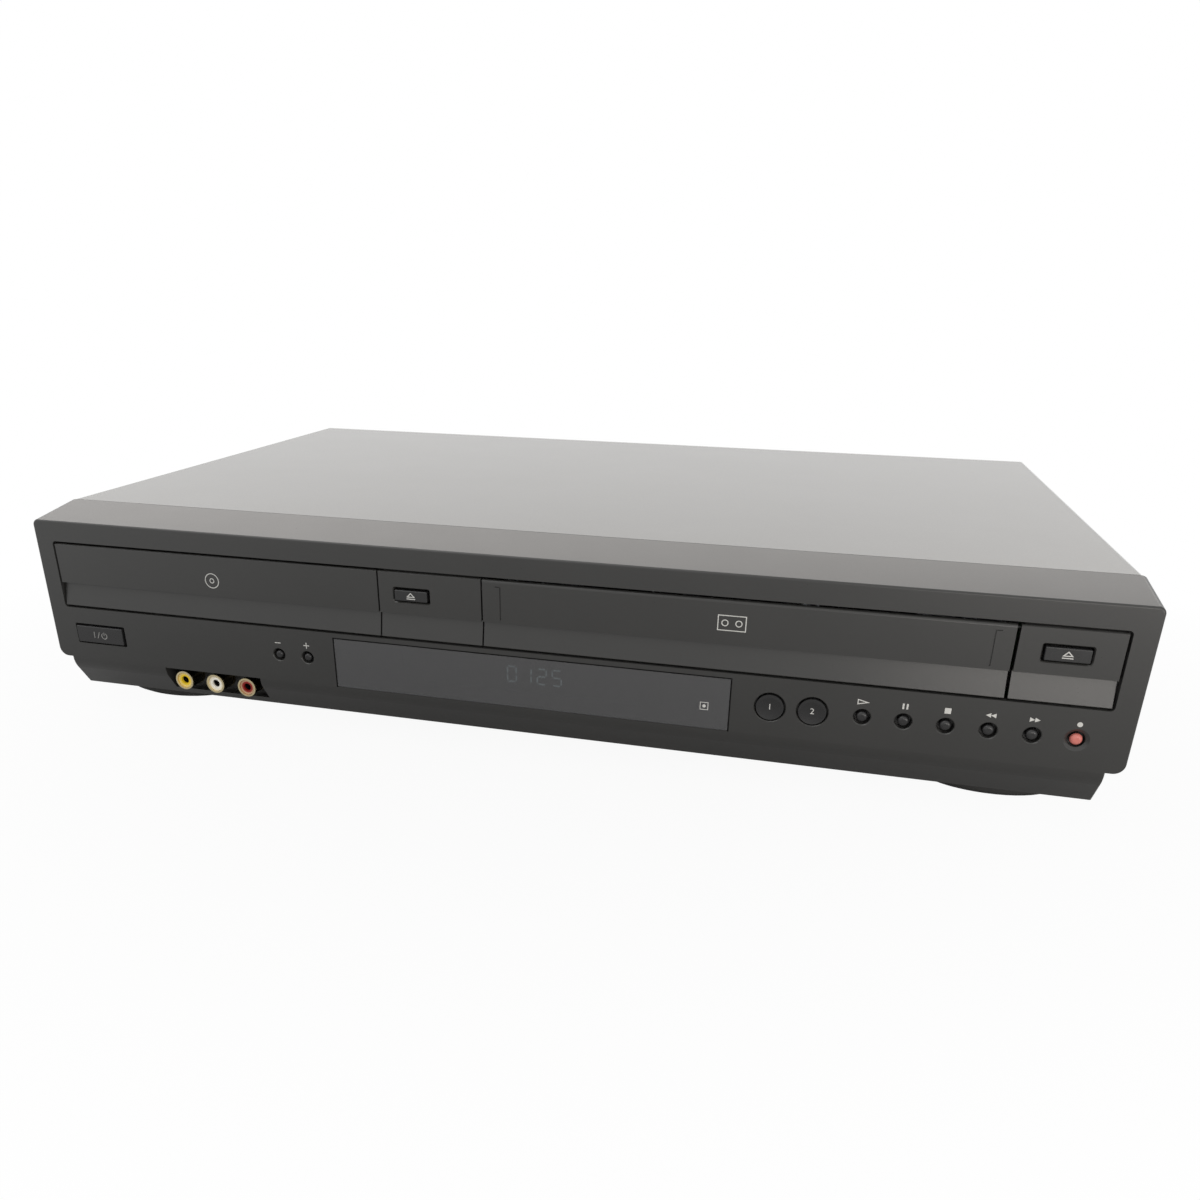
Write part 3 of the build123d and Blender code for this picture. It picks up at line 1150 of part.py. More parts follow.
# Disc tray with its rack
RACK_PITCH = math.pi * GEAR_MODULE
RACK_LINE = GEAR_X + GEAR_RADIUS
RACK_ROOT = RACK_LINE + DEDENDUM
RACK_FIRST = -3
RACK_LAST = int(TRAY_TRAVEL / RACK_PITCH) + 2
with BuildPart() as disc_tray:
    block(about(DISC_X, TRAY_HALF), (TRAY_FRONT, TRAY_REAR), (TRAY_LOW, TRAY_TOP))
    rod_z(DISC_X, DISC_Y, DISC_SEAT, (TRAY_TOP - SEAT_DEPTH, TRAY_TOP + OVER), Mode.SUBTRACT)
    small_low = TRAY_TOP - SEAT_DEPTH - SMALL_SEAT_DEPTH
    rod_z(DISC_X, DISC_Y, SMALL_SEAT, (small_low, TRAY_TOP + OVER), Mode.SUBTRACT)
    slot_z = (TRAY_LOW - OVER, TRAY_TOP + OVER)
    rod_z(DISC_X, DISC_Y, TRAY_SLOT, slot_z, Mode.SUBTRACT)
    block(about(DISC_X, TRAY_SLOT), (DISC_Y, TRAY_REAR + OVER), slot_z, Mode.SUBTRACT)
    rack_start = GEAR_Y + (RACK_FIRST - 0.5) * RACK_PITCH
    rack_end = GEAR_Y + (RACK_LAST + 0.5) * RACK_PITCH
    block((RACK_ROOT, RACK_ROOT + RACK_BACK), (rack_start, rack_end), (GEAR_LOW, TRAY_LOW))
    with BuildSketch(Plane.XY.offset(GEAR_LOW)) as rack_teeth:
        half = RACK_PITCH / 4 - BACKLASH / 4
        tip = half - GEAR_MODULE * math.tan(PRESSURE)
        root = half + DEDENDUM * math.tan(PRESSURE)
        for i in range(RACK_FIRST, RACK_LAST + 1):
            with Locations((RACK_LINE, GEAR_Y + i * RACK_PITCH)):
                Polygon(
                    (-GEAR_MODULE, -tip),
                    (DEDENDUM, -root),
                    (DEDENDUM, root),
                    (-GEAR_MODULE, tip),
                    align=None,
                )
    extrude(amount=TRAY_LOW - GEAR_LOW)
finish(disc_tray, "disc_tray")

# Loader frame with rails for the tray
with BuildPart() as loader_frame:
    for near, far, low, high in (
        (RAIL_IN, RAIL_OUT, BAND_BOTTOM + RAIL_SKIRT, RAIL_HIGH),
        (RAIL_IN - RAIL_LEDGE, RAIL_IN, TRAY_LOW - SEAM - LEDGE_THICK, TRAY_LOW - SEAM),
        (RAIL_IN - RAIL_LEDGE, RAIL_IN, TRAY_TOP + SEAM, TRAY_TOP + SEAM + GUIDE_THICK),
    ):
        for span in side_spans(DISC_X, near, far):
            block(span, (RAIL_FRONT, LOADER_REAR), (low, high))
    for span in side_spans(DISC_X, RAIL_IN, RAIL_OUT):
        block(span, (LOADER_FRONT, LOADER_REAR), (FLOOR_Z, RAIL_HIGH))
    block(about(DISC_X, RAIL_OUT), (LOADER_FRONT, LOADER_REAR), (FLOOR_Z, FLOOR_TOP))
    block(about(DISC_X, RAIL_OUT), (LOADER_REAR, LOADER_REAR + LOADER_WALL), (FLOOR_Z, RAIL_HIGH))
    block(
        about(DISC_X, TRAVERSE_HALF + TRAVERSE_SIDE_GAP),
        (DISC_Y - TRAVERSE_FRONT - TRAVERSE_END_GAP, DISC_Y + TRAVERSE_BACK + TRAVERSE_END_GAP),
        (FLOOR_Z - OVER, FLOOR_TOP + OVER),
        Mode.SUBTRACT,
    )
    pin_end = TRAVERSE_HALF + TRAVERSE_PIN_REACH
    for span in side_spans(DISC_X, TRAVERSE_HALF + TRAVERSE_SIDE_GAP, pin_end + PIN_BLOCK_SIDE):
        block(span, about(TRAVERSE_PIN_Y, PIN_BLOCK), (FLOOR_Z, TRAVERSE_PIN_Z + PIN_BLOCK))
    far = pin_end + PIN_END_GAP
    rod_x(TRAVERSE_PIN_Y, TRAVERSE_PIN_Z, TRAVERSE_PIN + RUN, about(DISC_X, far), Mode.SUBTRACT)
    rod_z(GEAR_X, GEAR_Y, GEAR_SHAFT, (FLOOR_Z, TRAY_LOW - SEAM))
    rod_z(GEAR_X, GEAR_Y, GEAR_SHAFT + GEAR_SHOULDER, (FLOOR_Z, PULLEY_LOW - GEAR_END_GAP))
finish(loader_frame, "loader_frame")

# Clamp bridge and clamp
with BuildPart() as clamp_bridge:
    block(about(DISC_X, RAIL_OUT), about(DISC_Y, BRIDGE_HALF), (RAIL_HIGH, RAIL_HIGH + BRIDGE_THICK))
    bridge_cut = (RAIL_HIGH - OVER, RAIL_HIGH + BRIDGE_THICK + OVER)
    rod_z(DISC_X, DISC_Y, BRIDGE_HOLE, bridge_cut, Mode.SUBTRACT)
finish(clamp_bridge, "clamp_bridge")

with BuildPart() as disc_clamp:
    top = RAIL_HIGH + BRIDGE_THICK
    rod_z(DISC_X, DISC_Y, BRIDGE_HOLE + CLAMP_LIP, (top, top + CLAMP_THICK))
    rod_z(DISC_X, DISC_Y, BRIDGE_HOLE - SLIDE_GAP, (RAIL_HIGH - CLAMP_DROP, top))
finish(disc_clamp, "disc_clamp")


def tooth_points():
    """Outline of one gear tooth about +X, involute flanks above the base circle."""
    base = GEAR_RADIUS * math.cos(PRESSURE)
    tip = GEAR_RADIUS + GEAR_MODULE
    root = GEAR_RADIUS - DEDENDUM
    half = math.pi / (2 * GEAR_TEETH) - BACKLASH / (4 * GEAR_RADIUS)
    start = half + math.tan(PRESSURE) - PRESSURE
    upper = [(root - TOOTH_ROOT, start)]
    for i in range(FLANK_STEPS + 1):
        r = base + (tip - base) * i / FLANK_STEPS
        angle = math.acos(min(1.0, base / r))
        upper.append((r, start - math.tan(angle) + angle))
    lower = [(r, -a) for r, a in reversed(upper)]
    return [(r * math.cos(a), r * math.sin(a)) for r, a in upper + lower]


# Tray gear with its pulley
with BuildPart() as tray_gear:
    with BuildSketch(Plane.XY.offset(GEAR_LOW)) as gear_plan:
        with Locations((GEAR_X, GEAR_Y)):
            Circle(GEAR_RADIUS - DEDENDUM)
            with PolarLocations(0, GEAR_TEETH, start_angle=180 / GEAR_TEETH):
                Polygon(*tooth_points(), align=None)
    extrude(amount=GEAR_THICK)
    rod_z(GEAR_X, GEAR_Y, PULLEY_RADIUS - PULLEY_STEP, (PULLEY_LOW, GEAR_LOW))
    rod_z(GEAR_X, GEAR_Y, PULLEY_RADIUS, (PULLEY_LOW, PULLEY_LOW + PULLEY_THICK))
    for low in (PULLEY_LOW, PULLEY_LOW + PULLEY_THICK - PULLEY_RIM):
        rod_z(GEAR_X, GEAR_Y, PULLEY_RADIUS + PULLEY_LIP, (low, low + PULLEY_RIM))
    rod_z(GEAR_X, GEAR_Y, GEAR_SHAFT + RUN, (PULLEY_LOW - OVER, TRAY_LOW), Mode.SUBTRACT)
finish(tray_gear, "tray_gear")

# Loading motor, its pulley and the belt
with BuildPart() as tray_motor:
    rod_z(MOTOR_X, GEAR_Y, MOTOR_RADIUS, (FLOOR_TOP, PULLEY_LOW - MOTOR_HEAD))
    rod_z(MOTOR_X, GEAR_Y, MOTOR_BOSS, (PULLEY_LOW - MOTOR_HEAD, PULLEY_LOW - MOTOR_BOSS_GAP))
    rod_z(MOTOR_X, GEAR_Y, MOTOR_SHAFT + RUN, (FLOOR_TOP + MOTOR_BASE, PULLEY_LOW), Mode.SUBTRACT)
finish(tray_motor, "tray_motor")

with BuildPart() as tray_motor_pulley:
    rod_z(MOTOR_X, GEAR_Y, MOTOR_SHAFT, (FLOOR_TOP + MOTOR_BASE + MOTOR_END_GAP, PULLEY_LOW))
    rod_z(MOTOR_X, GEAR_Y, MOTOR_PULLEY, (PULLEY_LOW, PULLEY_LOW + PULLEY_THICK))
    for low in (PULLEY_LOW, PULLEY_LOW + PULLEY_THICK - PULLEY_RIM):
        rod_z(MOTOR_X, GEAR_Y, MOTOR_PULLEY + PULLEY_LIP, (low, low + PULLEY_RIM))
finish(tray_motor_pulley, "tray_motor_pulley")

BELT_LOW = PULLEY_LOW + (PULLEY_THICK - BELT_TALL) / 2
with BuildPart() as tray_belt:
    for grow, mode in ((RUN + BELT, Mode.ADD), (RUN, Mode.SUBTRACT)):
        with BuildSketch(Plane.XY.offset(BELT_LOW)):
            with Locations((GEAR_X, GEAR_Y)):
                Circle(PULLEY_RADIUS + grow)
            with Locations((MOTOR_X, GEAR_Y)):
                Circle(MOTOR_PULLEY + grow)
            make_hull()
        extrude(amount=BELT_TALL, mode=mode)
finish(tray_belt, "tray_belt")

# Traverse frame with rod posts and the spindle bearing
ROD_POSTS = [DISC_Y + ROD_FRONT, DISC_Y + ROD_BACK]
with BuildPart() as traverse_frame:
    block(
        about(DISC_X, TRAVERSE_HALF),
        (DISC_Y - TRAVERSE_FRONT, DISC_Y + TRAVERSE_BACK),
        (TRAVERSE_Z, TRAVERSE_TOP),
    )
    window_y = (ROD_POSTS[0] + TRAVERSE_SLOT_FRONT, ROD_POSTS[1] - TRAVERSE_SLOT_BACK)
    window_z = (TRAVERSE_Z - OVER, TRAVERSE_TOP + OVER)
    block(about(DISC_X, TRAVERSE_SLOT), window_y, window_z, Mode.SUBTRACT)
    rod_x(
        TRAVERSE_PIN_Y,
        TRAVERSE_PIN_Z,
        TRAVERSE_PIN,
        about(DISC_X, pin_end),
    )
    for y in ROD_POSTS:
        for x in about(DISC_X, ROD_SPREAD):
            block(about(x, ROD_POST[0]), about(y, ROD_POST[1]), (TRAVERSE_Z, ROD_Z + ROD_POST[0]))
            rod_y(x, ROD_Z, ROD_RADIUS + RUN, about(y, ROD_POST[1] + OVER), Mode.SUBTRACT)
    boss_low = TRAVERSE_Z - BOSS_DEEP
    rod_z(DISC_X, DISC_Y, SPINDLE_BOSS, (boss_low, TRAVERSE_TOP + BOSS_RISE))
    bore = (boss_low + BOSS_FLOOR, TRAVERSE_TOP + BOSS_RISE + OVER)
    rod_z(DISC_X, DISC_Y, SPINDLE_RADIUS + RUN, bore, Mode.SUBTRACT)
finish(traverse_frame, "traverse_frame")

with BuildPart() as sled_rods:
    for x in about(DISC_X, ROD_SPREAD):
        rod_y(x, ROD_Z, ROD_RADIUS, (ROD_POSTS[0] - ROD_END, ROD_POSTS[1] + ROD_END))
finish(sled_rods, "sled_rods")

# Turntable with its rotor
with BuildPart() as turntable:
    rod_z(DISC_X, DISC_Y, SPINDLE_RADIUS, (boss_low + BOSS_FLOOR + SLIDE_GAP, DISC_LEVEL))
    rotor_low = TRAVERSE_TOP + ROTOR_GAP
    rod_z(DISC_X, DISC_Y, ROTOR_RADIUS, (rotor_low, rotor_low + ROTOR_TALL))
    rod_z(DISC_X, DISC_Y, PLATTER_RADIUS, (DISC_LEVEL - PLATTER_THICK, DISC_LEVEL))
    with Locations((DISC_X, DISC_Y, DISC_LEVEL)):
        Cone(HUB_RADIUS, HUB_RADIUS - HUB_TAPER, HUB_TALL, align=(Align.CENTER, Align.CENTER, Align.MIN))
finish(turntable, "turntable")

# Optical pickup on its rods
with BuildPart() as optical_pickup:
    low = ROD_Z - PICKUP_TALL / 2
    start = DISC_Y + PICKUP_FRONT
    block(about(DISC_X, PICKUP_HALF), (start, start + PICKUP_LONG), (low, low + PICKUP_TALL))
    lens_y = start + LENS_SETBACK
    rod_z(DISC_X, lens_y, LENS_RING, (low, low + PICKUP_TALL + LENS_RING_RISE))
    rod_z(DISC_X, lens_y, LENS_RADIUS, (low, low + PICKUP_TALL + LENS_RISE))
    for x in about(DISC_X, ROD_SPREAD):
        rod_y(x, ROD_Z, ROD_RADIUS + RUN, (start - OVER, start + PICKUP_LONG + OVER), Mode.SUBTRACT)
finish(optical_pickup, "optical_pickup")

# Tape deck plate
with BuildPart() as deck_plate:
    block(about(TAPE_X, PLATE_OUT), (DECK_FRONT, DECK_BACK), (DECK_LOW, DECK_TOP))
    deck_cut = (DECK_LOW - OVER, DECK_TOP + OVER)
    rod_z(CAPSTAN_X, CAPSTAN_Y, BEARING_RADIUS + RUN, deck_cut, Mode.SUBTRACT)
    for x in (TAPE_X - DECK_HOLE_PITCH, TAPE_X, TAPE_X + DECK_HOLE_PITCH):
        y = DECK_FRONT + DECK_HOLE_INSET
        rod_z(x, y, DECK_HOLE, deck_cut, Mode.SUBTRACT)
finish(deck_plate, "deck_plate")

# Posts, bearing and fixed heads on the deck
with BuildPart() as deck_posts:
    for x in about(TAPE_X, REEL_SPREAD):
        rod_z(x, REEL_Y, REEL_SHAFT, (DECK_TOP, DECK_TOP + REEL_TALL))
    bearing = (DECK_LOW - BEARING_FOOT, DECK_TOP + ARM_RISE - SLIDE_GAP)
    rod_z(CAPSTAN_X, CAPSTAN_Y, BEARING_RADIUS, bearing)
    rod_z(CAPSTAN_X, CAPSTAN_Y, BEARING_RADIUS + BEARING_LIP, (DECK_TOP, DECK_TOP + DECK_THICK))
    bore = (bearing[0] - OVER, bearing[1] + OVER)
    rod_z(CAPSTAN_X, CAPSTAN_Y, CAPSTAN_RADIUS + RUN, bore, Mode.SUBTRACT)
    rod_z(PIVOT_X, PIVOT_Y, PINCH_PIVOT, (DECK_TOP, DECK_TOP + ARM_RISE + ARM_BOSS + PIN_HEAD))
    rod_z(PIVOT_X, PIVOT_Y, ARM_HALF, (DECK_TOP, DECK_TOP + ARM_RISE - ARM_GAP))
    places = [
        (CAPSTAN_X - FIXED_HEAD_SHIFT[0], CAPSTAN_Y + FIXED_HEAD_SHIFT[1], FIXED_HEAD),
        (TAPE_X - ERASE_HEAD_SHIFT[0], CAPSTAN_Y - ERASE_HEAD_SHIFT[1], ERASE_HEAD),
    ]
    for x, y, size in places:
        block((x, x + size[0]), (y, y + size[1]), (DECK_TOP, DECK_TOP + HEAD_TALL))
finish(deck_posts, "deck_posts")

# Reels
for x, name in ((TAPE_X - REEL_SPREAD, "supply_reel"), (TAPE_X + REEL_SPREAD, "take_up_reel")):
    with BuildPart() as reel:
        low = DECK_TOP + REEL_GAP
        rod_z(x, REEL_Y, REEL_RADIUS, (low, low + REEL_FLANGE))
        rod_z(x, REEL_Y, REEL_HUB, (low, low + REEL_TALL - REEL_HUB_DROP))
        for turn in (0, 60, 120):
            with Locations(Location((x, REEL_Y, low + REEL_FLANGE + REEL_FIN[2] / 2), (0, 0, turn))):
                Box(2 * REEL_HUB + REEL_FIN[0], REEL_FIN[1], REEL_FIN[2])
        rod_z(x, REEL_Y, REEL_SHAFT + RUN, (low - OVER, low + REEL_TALL), Mode.SUBTRACT)
    finish(reel, name)

# Tilted drum: fixed base and turning head
TILT = math.radians(DRUM_TILT)
DRUM_AXIS = (0, math.sin(TILT), math.cos(TILT))
DRUM_PLANE = Plane(origin=(TAPE_X, DRUM_Y, DECK_TOP), x_dir=(1, 0, 0), z_dir=DRUM_AXIS)
with BuildPart() as drum_base:
    with BuildSketch(DRUM_PLANE.offset(-DRUM_FOOT)):
        Circle(DRUM_RADIUS)
    extrude(amount=DRUM_BASE + DRUM_FOOT)
    with BuildSketch(DRUM_PLANE.offset(DRUM_BORE)):
        Circle(DRUM_SHAFT + RUN)
    extrude(amount=DRUM_BASE, mode=Mode.SUBTRACT)
    reach = 2 * DRUM_RADIUS
    block(about(TAPE_X, reach), about(DRUM_Y, reach), (DECK_TOP - DRUM_TRIM, DECK_TOP), Mode.SUBTRACT)
finish(drum_base, "drum_base")

with BuildPart() as head_drum:
    with BuildSketch(DRUM_PLANE.offset(DRUM_BASE + DRUM_GAP)):
        Circle(DRUM_RADIUS)
    extrude(amount=DRUM_TALL)
    with BuildSketch(DRUM_PLANE.offset(DRUM_BORE + DRUM_END_GAP)):
        Circle(DRUM_SHAFT)
    extrude(amount=DRUM_BASE)
    with BuildSketch(DRUM_PLANE.offset(DRUM_BASE + DRUM_GAP + DRUM_TALL)):
        Circle(ROTOR_CAP)
    extrude(amount=ROTOR_CAP_TALL)
finish(head_drum, "head_drum")

# Capstan with its flywheel
with BuildPart() as capstan:
    rod_z(CAPSTAN_X, CAPSTAN_Y, CAPSTAN_RADIUS, (FLYWHEEL_Z, DECK_TOP + CAPSTAN_TALL))
    rod_z(CAPSTAN_X, CAPSTAN_Y, FLYWHEEL_RADIUS, (FLYWHEEL_Z, FLYWHEEL_Z + FLYWHEEL_THICK))
finish(capstan, "capstan")

# Pinch arm and roller, swung back from the capstan
CLOSED = (-PINCH_REACH, PINCH_BACK - CAPSTAN_RADIUS - PINCH_RADIUS - PINCH_GAP)
SWING = math.radians(PINCH_SWING)
ROLLER_X = PIVOT_X + CLOSED[0] * math.cos(SWING) - CLOSED[1] * math.sin(SWING)
ROLLER_Y = PIVOT_Y + CLOSED[0] * math.sin(SWING) + CLOSED[1] * math.cos(SWING)
ARM_LOW = DECK_TOP + ARM_RISE
with BuildPart() as pinch_arm:
    with BuildSketch(Plane.XY.offset(ARM_LOW)) as arm_plan:
        with Locations(((PIVOT_X + ROLLER_X) / 2, (PIVOT_Y + ROLLER_Y) / 2)):
            SlotCenterToCenter(
                math.hypot(PIVOT_X - ROLLER_X, PIVOT_Y - ROLLER_Y),
                2 * ARM_HALF,
                rotation=math.degrees(math.atan2(PIVOT_Y - ROLLER_Y, PIVOT_X - ROLLER_X)),
            )
    extrude(amount=ARM_THICK)
    rod_z(PIVOT_X, PIVOT_Y, ARM_HALF, (ARM_LOW, ARM_LOW + ARM_BOSS))
    boss_cut = (ARM_LOW - OVER, ARM_LOW + ARM_BOSS + OVER)
    rod_z(PIVOT_X, PIVOT_Y, PINCH_PIVOT + RUN, boss_cut, Mode.SUBTRACT)
    rod_z(ROLLER_X, ROLLER_Y, PINCH_PIN, (ARM_LOW, ARM_LOW + ARM_THICK + PINCH_TALL + PIN_HEAD))
finish(pinch_arm, "pinch_arm")

with BuildPart() as pinch_roller:
    roller_low = ARM_LOW + ARM_THICK + PINCH_RISE
    rod_z(ROLLER_X, ROLLER_Y, PINCH_RADIUS, (roller_low, roller_low + PINCH_TALL))
    roller_cut = (roller_low - OVER, roller_low + PINCH_TALL + OVER)
    rod_z(ROLLER_X, ROLLER_Y, PINCH_PIN + RUN, roller_cut, Mode.SUBTRACT)
finish(pinch_roller, "pinch_roller")

# Carriage plates with straight slots
SLOT_START = SLIDER_PIN_Y[0] - CARRIAGE_PIN - SLOT_PLAY
SLOT_END = SLIDER_PIN_Y[1] + CARRIAGE_TRAVEL + CARRIAGE_PIN + SLOT_PLAY
with BuildPart() as carriage_plates:
    for span in side_spans(TAPE_X, PLATE_IN, PLATE_OUT):
        block(span, (HOLDER_FRONT - PLATE_START, SLOT_END + PLATE_END), (DECK_TOP, PLATE_TOP))
    with BuildSketch(Plane.YZ.offset(TAPE_X - PLATE_OUT - OVER)) as plate_slots:
        with Locations(((SLOT_START + SLOT_END) / 2, SLIDER_PIN_Z)):
            SlotOverall(SLOT_END - SLOT_START, 2 * (CARRIAGE_PIN + PIN_GAP))
    extrude(amount=2 * (PLATE_OUT + OVER), mode=Mode.SUBTRACT)
finish(carriage_plates, "carriage_plates")

# Carriage slider
DROP_LOW = HOLDER_PIN_Z - CARRIAGE_DROP - CARRIAGE_PIN - SLOT_PLAY
DROP_HIGH = HOLDER_PIN_Z + CARRIAGE_PIN + SLOT_PLAY
ARM_TOP = SLIDER_PIN_Z + SLIDER_HEAD
with BuildPart() as carriage_slider:
    for span in side_spans(TAPE_X, ARM_IN, ARM_OUT):
        block(span, (HOLDER_FRONT, HOLDER_BACK), (DROP_LOW - SLIDER_FOOT, ARM_TOP))
    bridge_y = (HOLDER_FRONT, HOLDER_BACK - SLIDER_BRIDGE_GAP)
    block(about(TAPE_X, ARM_OUT), bridge_y, (ARM_TOP - HOLDER_SHEET, ARM_TOP))
    with BuildSketch(Plane.YZ.offset(TAPE_X - ARM_OUT - OVER)) as drop_slots:
        with Locations((HOLDER_PIN_Y, (DROP_LOW + DROP_HIGH) / 2)):
            SlotOverall(DROP_HIGH - DROP_LOW, 2 * (CARRIAGE_PIN + PIN_GAP), rotation=90)
    extrude(amount=2 * (ARM_OUT + OVER), mode=Mode.SUBTRACT)
    for span in side_spans(TAPE_X, ARM_IN + PIN_ROOT, PLATE_OUT + PIN_END):
        for y in SLIDER_PIN_Y:
            rod_x(y, SLIDER_PIN_Z, CARRIAGE_PIN, span)
finish(carriage_slider, "carriage_slider")

# Tape holder
with BuildPart() as cassette_holder:
    for span in side_spans(TAPE_X, HOLDER_HALF, HOLDER_OUT):
        block(span, (HOLDER_FRONT, HOLDER_BACK), (HOLDER_LOW, HOLDER_TOP))
    for span in side_spans(TAPE_X, HOLDER_HALF - HOLDER_LEDGE, HOLDER_HALF):
        block(span, (HOLDER_FRONT, HOLDER_BACK), (HOLDER_LOW, HOLDER_FLOOR))
        block(span, (HOLDER_BACK - HOLDER_SHEET, HOLDER_BACK), (HOLDER_LOW, HOLDER_FLOOR + HOLDER_STOP))
    block(about(TAPE_X, HOLDER_OUT), (HOLDER_FRONT + ROOF_START, HOLDER_BACK), (HOLDER_ROOF, HOLDER_TOP))
    for span in side_spans(TAPE_X, HOLDER_OUT - PIN_ROOT, ARM_OUT + PIN_SHOW):
        rod_x(HOLDER_PIN_Y, HOLDER_PIN_Z, CARRIAGE_PIN, span)
finish(cassette_holder, "cassette_holder")

# Tape door and its rod
DOOR_BACK = BAND_FACE + DOOR_THICK
with BuildPart() as cassette_door:
    with BuildSketch(Plane.YZ.offset(TAPE_LEFT + END_GAP)) as door_profile:
        with BuildLine():
            Polyline(
                (BAND_FACE, CREASE),
                (BAND_FACE, HINGE_Z),
                (BAND_FACE + 2 * HINGE_RADIUS, HINGE_Z),
                (BAND_FACE + 2 * HINGE_RADIUS, HINGE_Z - DOOR_RELIEF),
                (DOOR_BACK, HINGE_Z - DOOR_RELIEF - DOOR_RAMP),
                (DOOR_BACK, BAND_BOTTOM + BAND_GAP),
                (BAND_FACE + BAND_BEVEL, BAND_BOTTOM + BAND_GAP),
                (BAND_FACE, BAND_BOTTOM + BAND_GAP + BAND_BEVEL),
                (BAND_FACE + LEDGE_DEPTH, CREASE),
                close=True,
            )
        make_face()
        with Locations((HINGE_Y, HINGE_Z)):
            Circle(HINGE_RADIUS)
            Circle(DOOR_ROD_RADIUS + RUN, mode=Mode.SUBTRACT)
    extrude(amount=TAPE_WIDTH - END_GAP - DOOR_PLAY)
    groove_low = CREASE + GROOVE_MARGIN
    groove_high = HINGE_Z - GROOVE_MARGIN
    for x, side in ((TAPE_LEFT + GROOVE_INSET, -1), (TAPE_RIGHT - GROOVE_INSET, 1)):
        deep = (BAND_FACE - OVER, BAND_FACE + GROOVE_DEPTH)
        block(about(x, GROOVE_WIDTH / 2), deep, (groove_low, groove_high), Mode.SUBTRACT)
        hook = sorted((x, x + side * GROOVE_HOOK))
        block(hook, deep, (groove_high - GROOVE_WIDTH, groove_high), Mode.SUBTRACT)
finish(cassette_door, "cassette_door")

with BuildPart() as door_rod:
    rod_x(HINGE_Y, HINGE_Z, DOOR_ROD_RADIUS, (TAPE_LEFT - DOOR_ROD_REACH, TAPE_RIGHT + DOOR_ROD_REACH))
finish(door_rod, "door_rod")
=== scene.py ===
"""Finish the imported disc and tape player: materials, printed marks, a faint display and a plain studio."""

import math

import bmesh
import bpy
from bpy.props import FloatProperty, FloatVectorProperty, PointerProperty
from mathutils import Matrix, Vector


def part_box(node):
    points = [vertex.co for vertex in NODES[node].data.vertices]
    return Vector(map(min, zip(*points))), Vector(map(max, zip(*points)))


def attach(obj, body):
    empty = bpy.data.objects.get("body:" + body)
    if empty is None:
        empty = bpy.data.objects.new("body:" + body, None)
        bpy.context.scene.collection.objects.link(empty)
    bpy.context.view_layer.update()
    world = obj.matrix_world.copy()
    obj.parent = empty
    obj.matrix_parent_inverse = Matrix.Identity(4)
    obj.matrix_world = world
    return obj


bl_info = {
    "name": "Disc and tape player finish",
    "version": (1, 0, 0),
    "blender": (4, 5, 0),
    "location": "3D View > Sidebar > Player",
    "description": "Finishes, printed marks, display and studio for the packed disc and tape player",
    "category": "Object",
}

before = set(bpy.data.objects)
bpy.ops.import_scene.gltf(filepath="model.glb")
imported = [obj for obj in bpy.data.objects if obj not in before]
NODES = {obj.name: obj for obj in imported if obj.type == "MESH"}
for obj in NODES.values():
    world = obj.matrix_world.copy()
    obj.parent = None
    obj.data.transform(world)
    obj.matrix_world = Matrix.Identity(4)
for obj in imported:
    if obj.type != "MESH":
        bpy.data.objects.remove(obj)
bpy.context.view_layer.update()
MM = 0.001
WHITE = (1.0, 1.0, 1.0)
ALONG_X = (0.06, 1.0, 1.0)  # noise drawn out along an axis
ALONG_Y = (1.0, 0.06, 1.0)
ALONG_Z = (1.0, 1.0, 0.08)
FRONT_SOCKET = -139.4 * MM  # middle one of the front sockets, along X
FRONT_PITCH = 15.0 * MM
FRONT_RISE = 17.5 * MM  # front sockets above the floor
UNSHADED_RIM = 0.9 * MM  # end of a front socket's shell that keeps its gold; deeper in, the shell gets painted shade
PALE_RING = 2.5 * MM  # radius beyond which a front insert is paler
PALE_SHARE = 0.42
UNSHADED_LIP = 1.0 * MM  # coloured ends of the inserts; deeper in, they get painted shade
RECORD_CAP = 1.4 * MM  # depth of the record button's coloured cap
REAR_SOCKET = -186.0 * MM  # first column of rear sockets, along X
REAR_PITCH = 20.03 * MM
REAR_COLUMNS = 5
REAR_ROWS = (31.6 * MM, 53.6 * MM)  # above the floor
REAR_FACE = 123.4 * MM  # outside of the rear panel, along Y
AERIAL = (-49.87 * MM, 37.6 * MM)  # X and Z of the middle between the aerial sockets
SIDE_SCREWS = (-67.9 * MM, 82.4 * MM)  # along Y
SIDE_SCREW_RISE = 19.0 * MM
REAR_SCREWS = (-150.0 * MM, 0.0, 150.0 * MM)  # along X
REAR_SCREW_RISE = 83.0 * MM
WINDOW_LIP = 2.5 * MM  # ends of the window that lie behind the panel
WINDOW_HEAD_LIP = 0.6 * MM  # upper edge of the window that lies behind the panel
DISH_RADIUS = 28.0 * MM  # sphere of a select button's dish
DISH_DROP = 0.9 * MM  # middle of the dish below the middle of the button
DISH_DIP = 0.4 * MM  # depth of the dish
FLOOR_HALF = 4.0
FLOOR_GREY = (0.4, 0.4, 0.4)
FLOOR_WHITE = 0.93  # share of white that the camera sees below the player
FLOOR_FADE = 0.5  # rise of that share with the square of the distance
MIRROR_FADE = 3.3  # the same for reflections, which see no white below the player
NEAREST = 0.01  # near limit of the camera
TRANSPORT = ("play", "pause", "stop", "rewind", "fast_forward", "record")
TRACKING = ("tracking_minus", "tracking_plus")
SELECT = ("select_disc", "select_tape")
EJECT = ("disc_eject", "tape_eject")
DISPLAY_DIGITS = "0125"
SEGMENTS = {
    "0": "abcdef",
    "1": "bc",
    "2": "abdeg",
    "5": "acdfg",
}


def colour_property(name, description, default):
    """A colour that a user can change."""
    return FloatVectorProperty(
        name=name, description=description, subtype="COLOR", size=3, min=0.0, max=1.0, default=default
    )


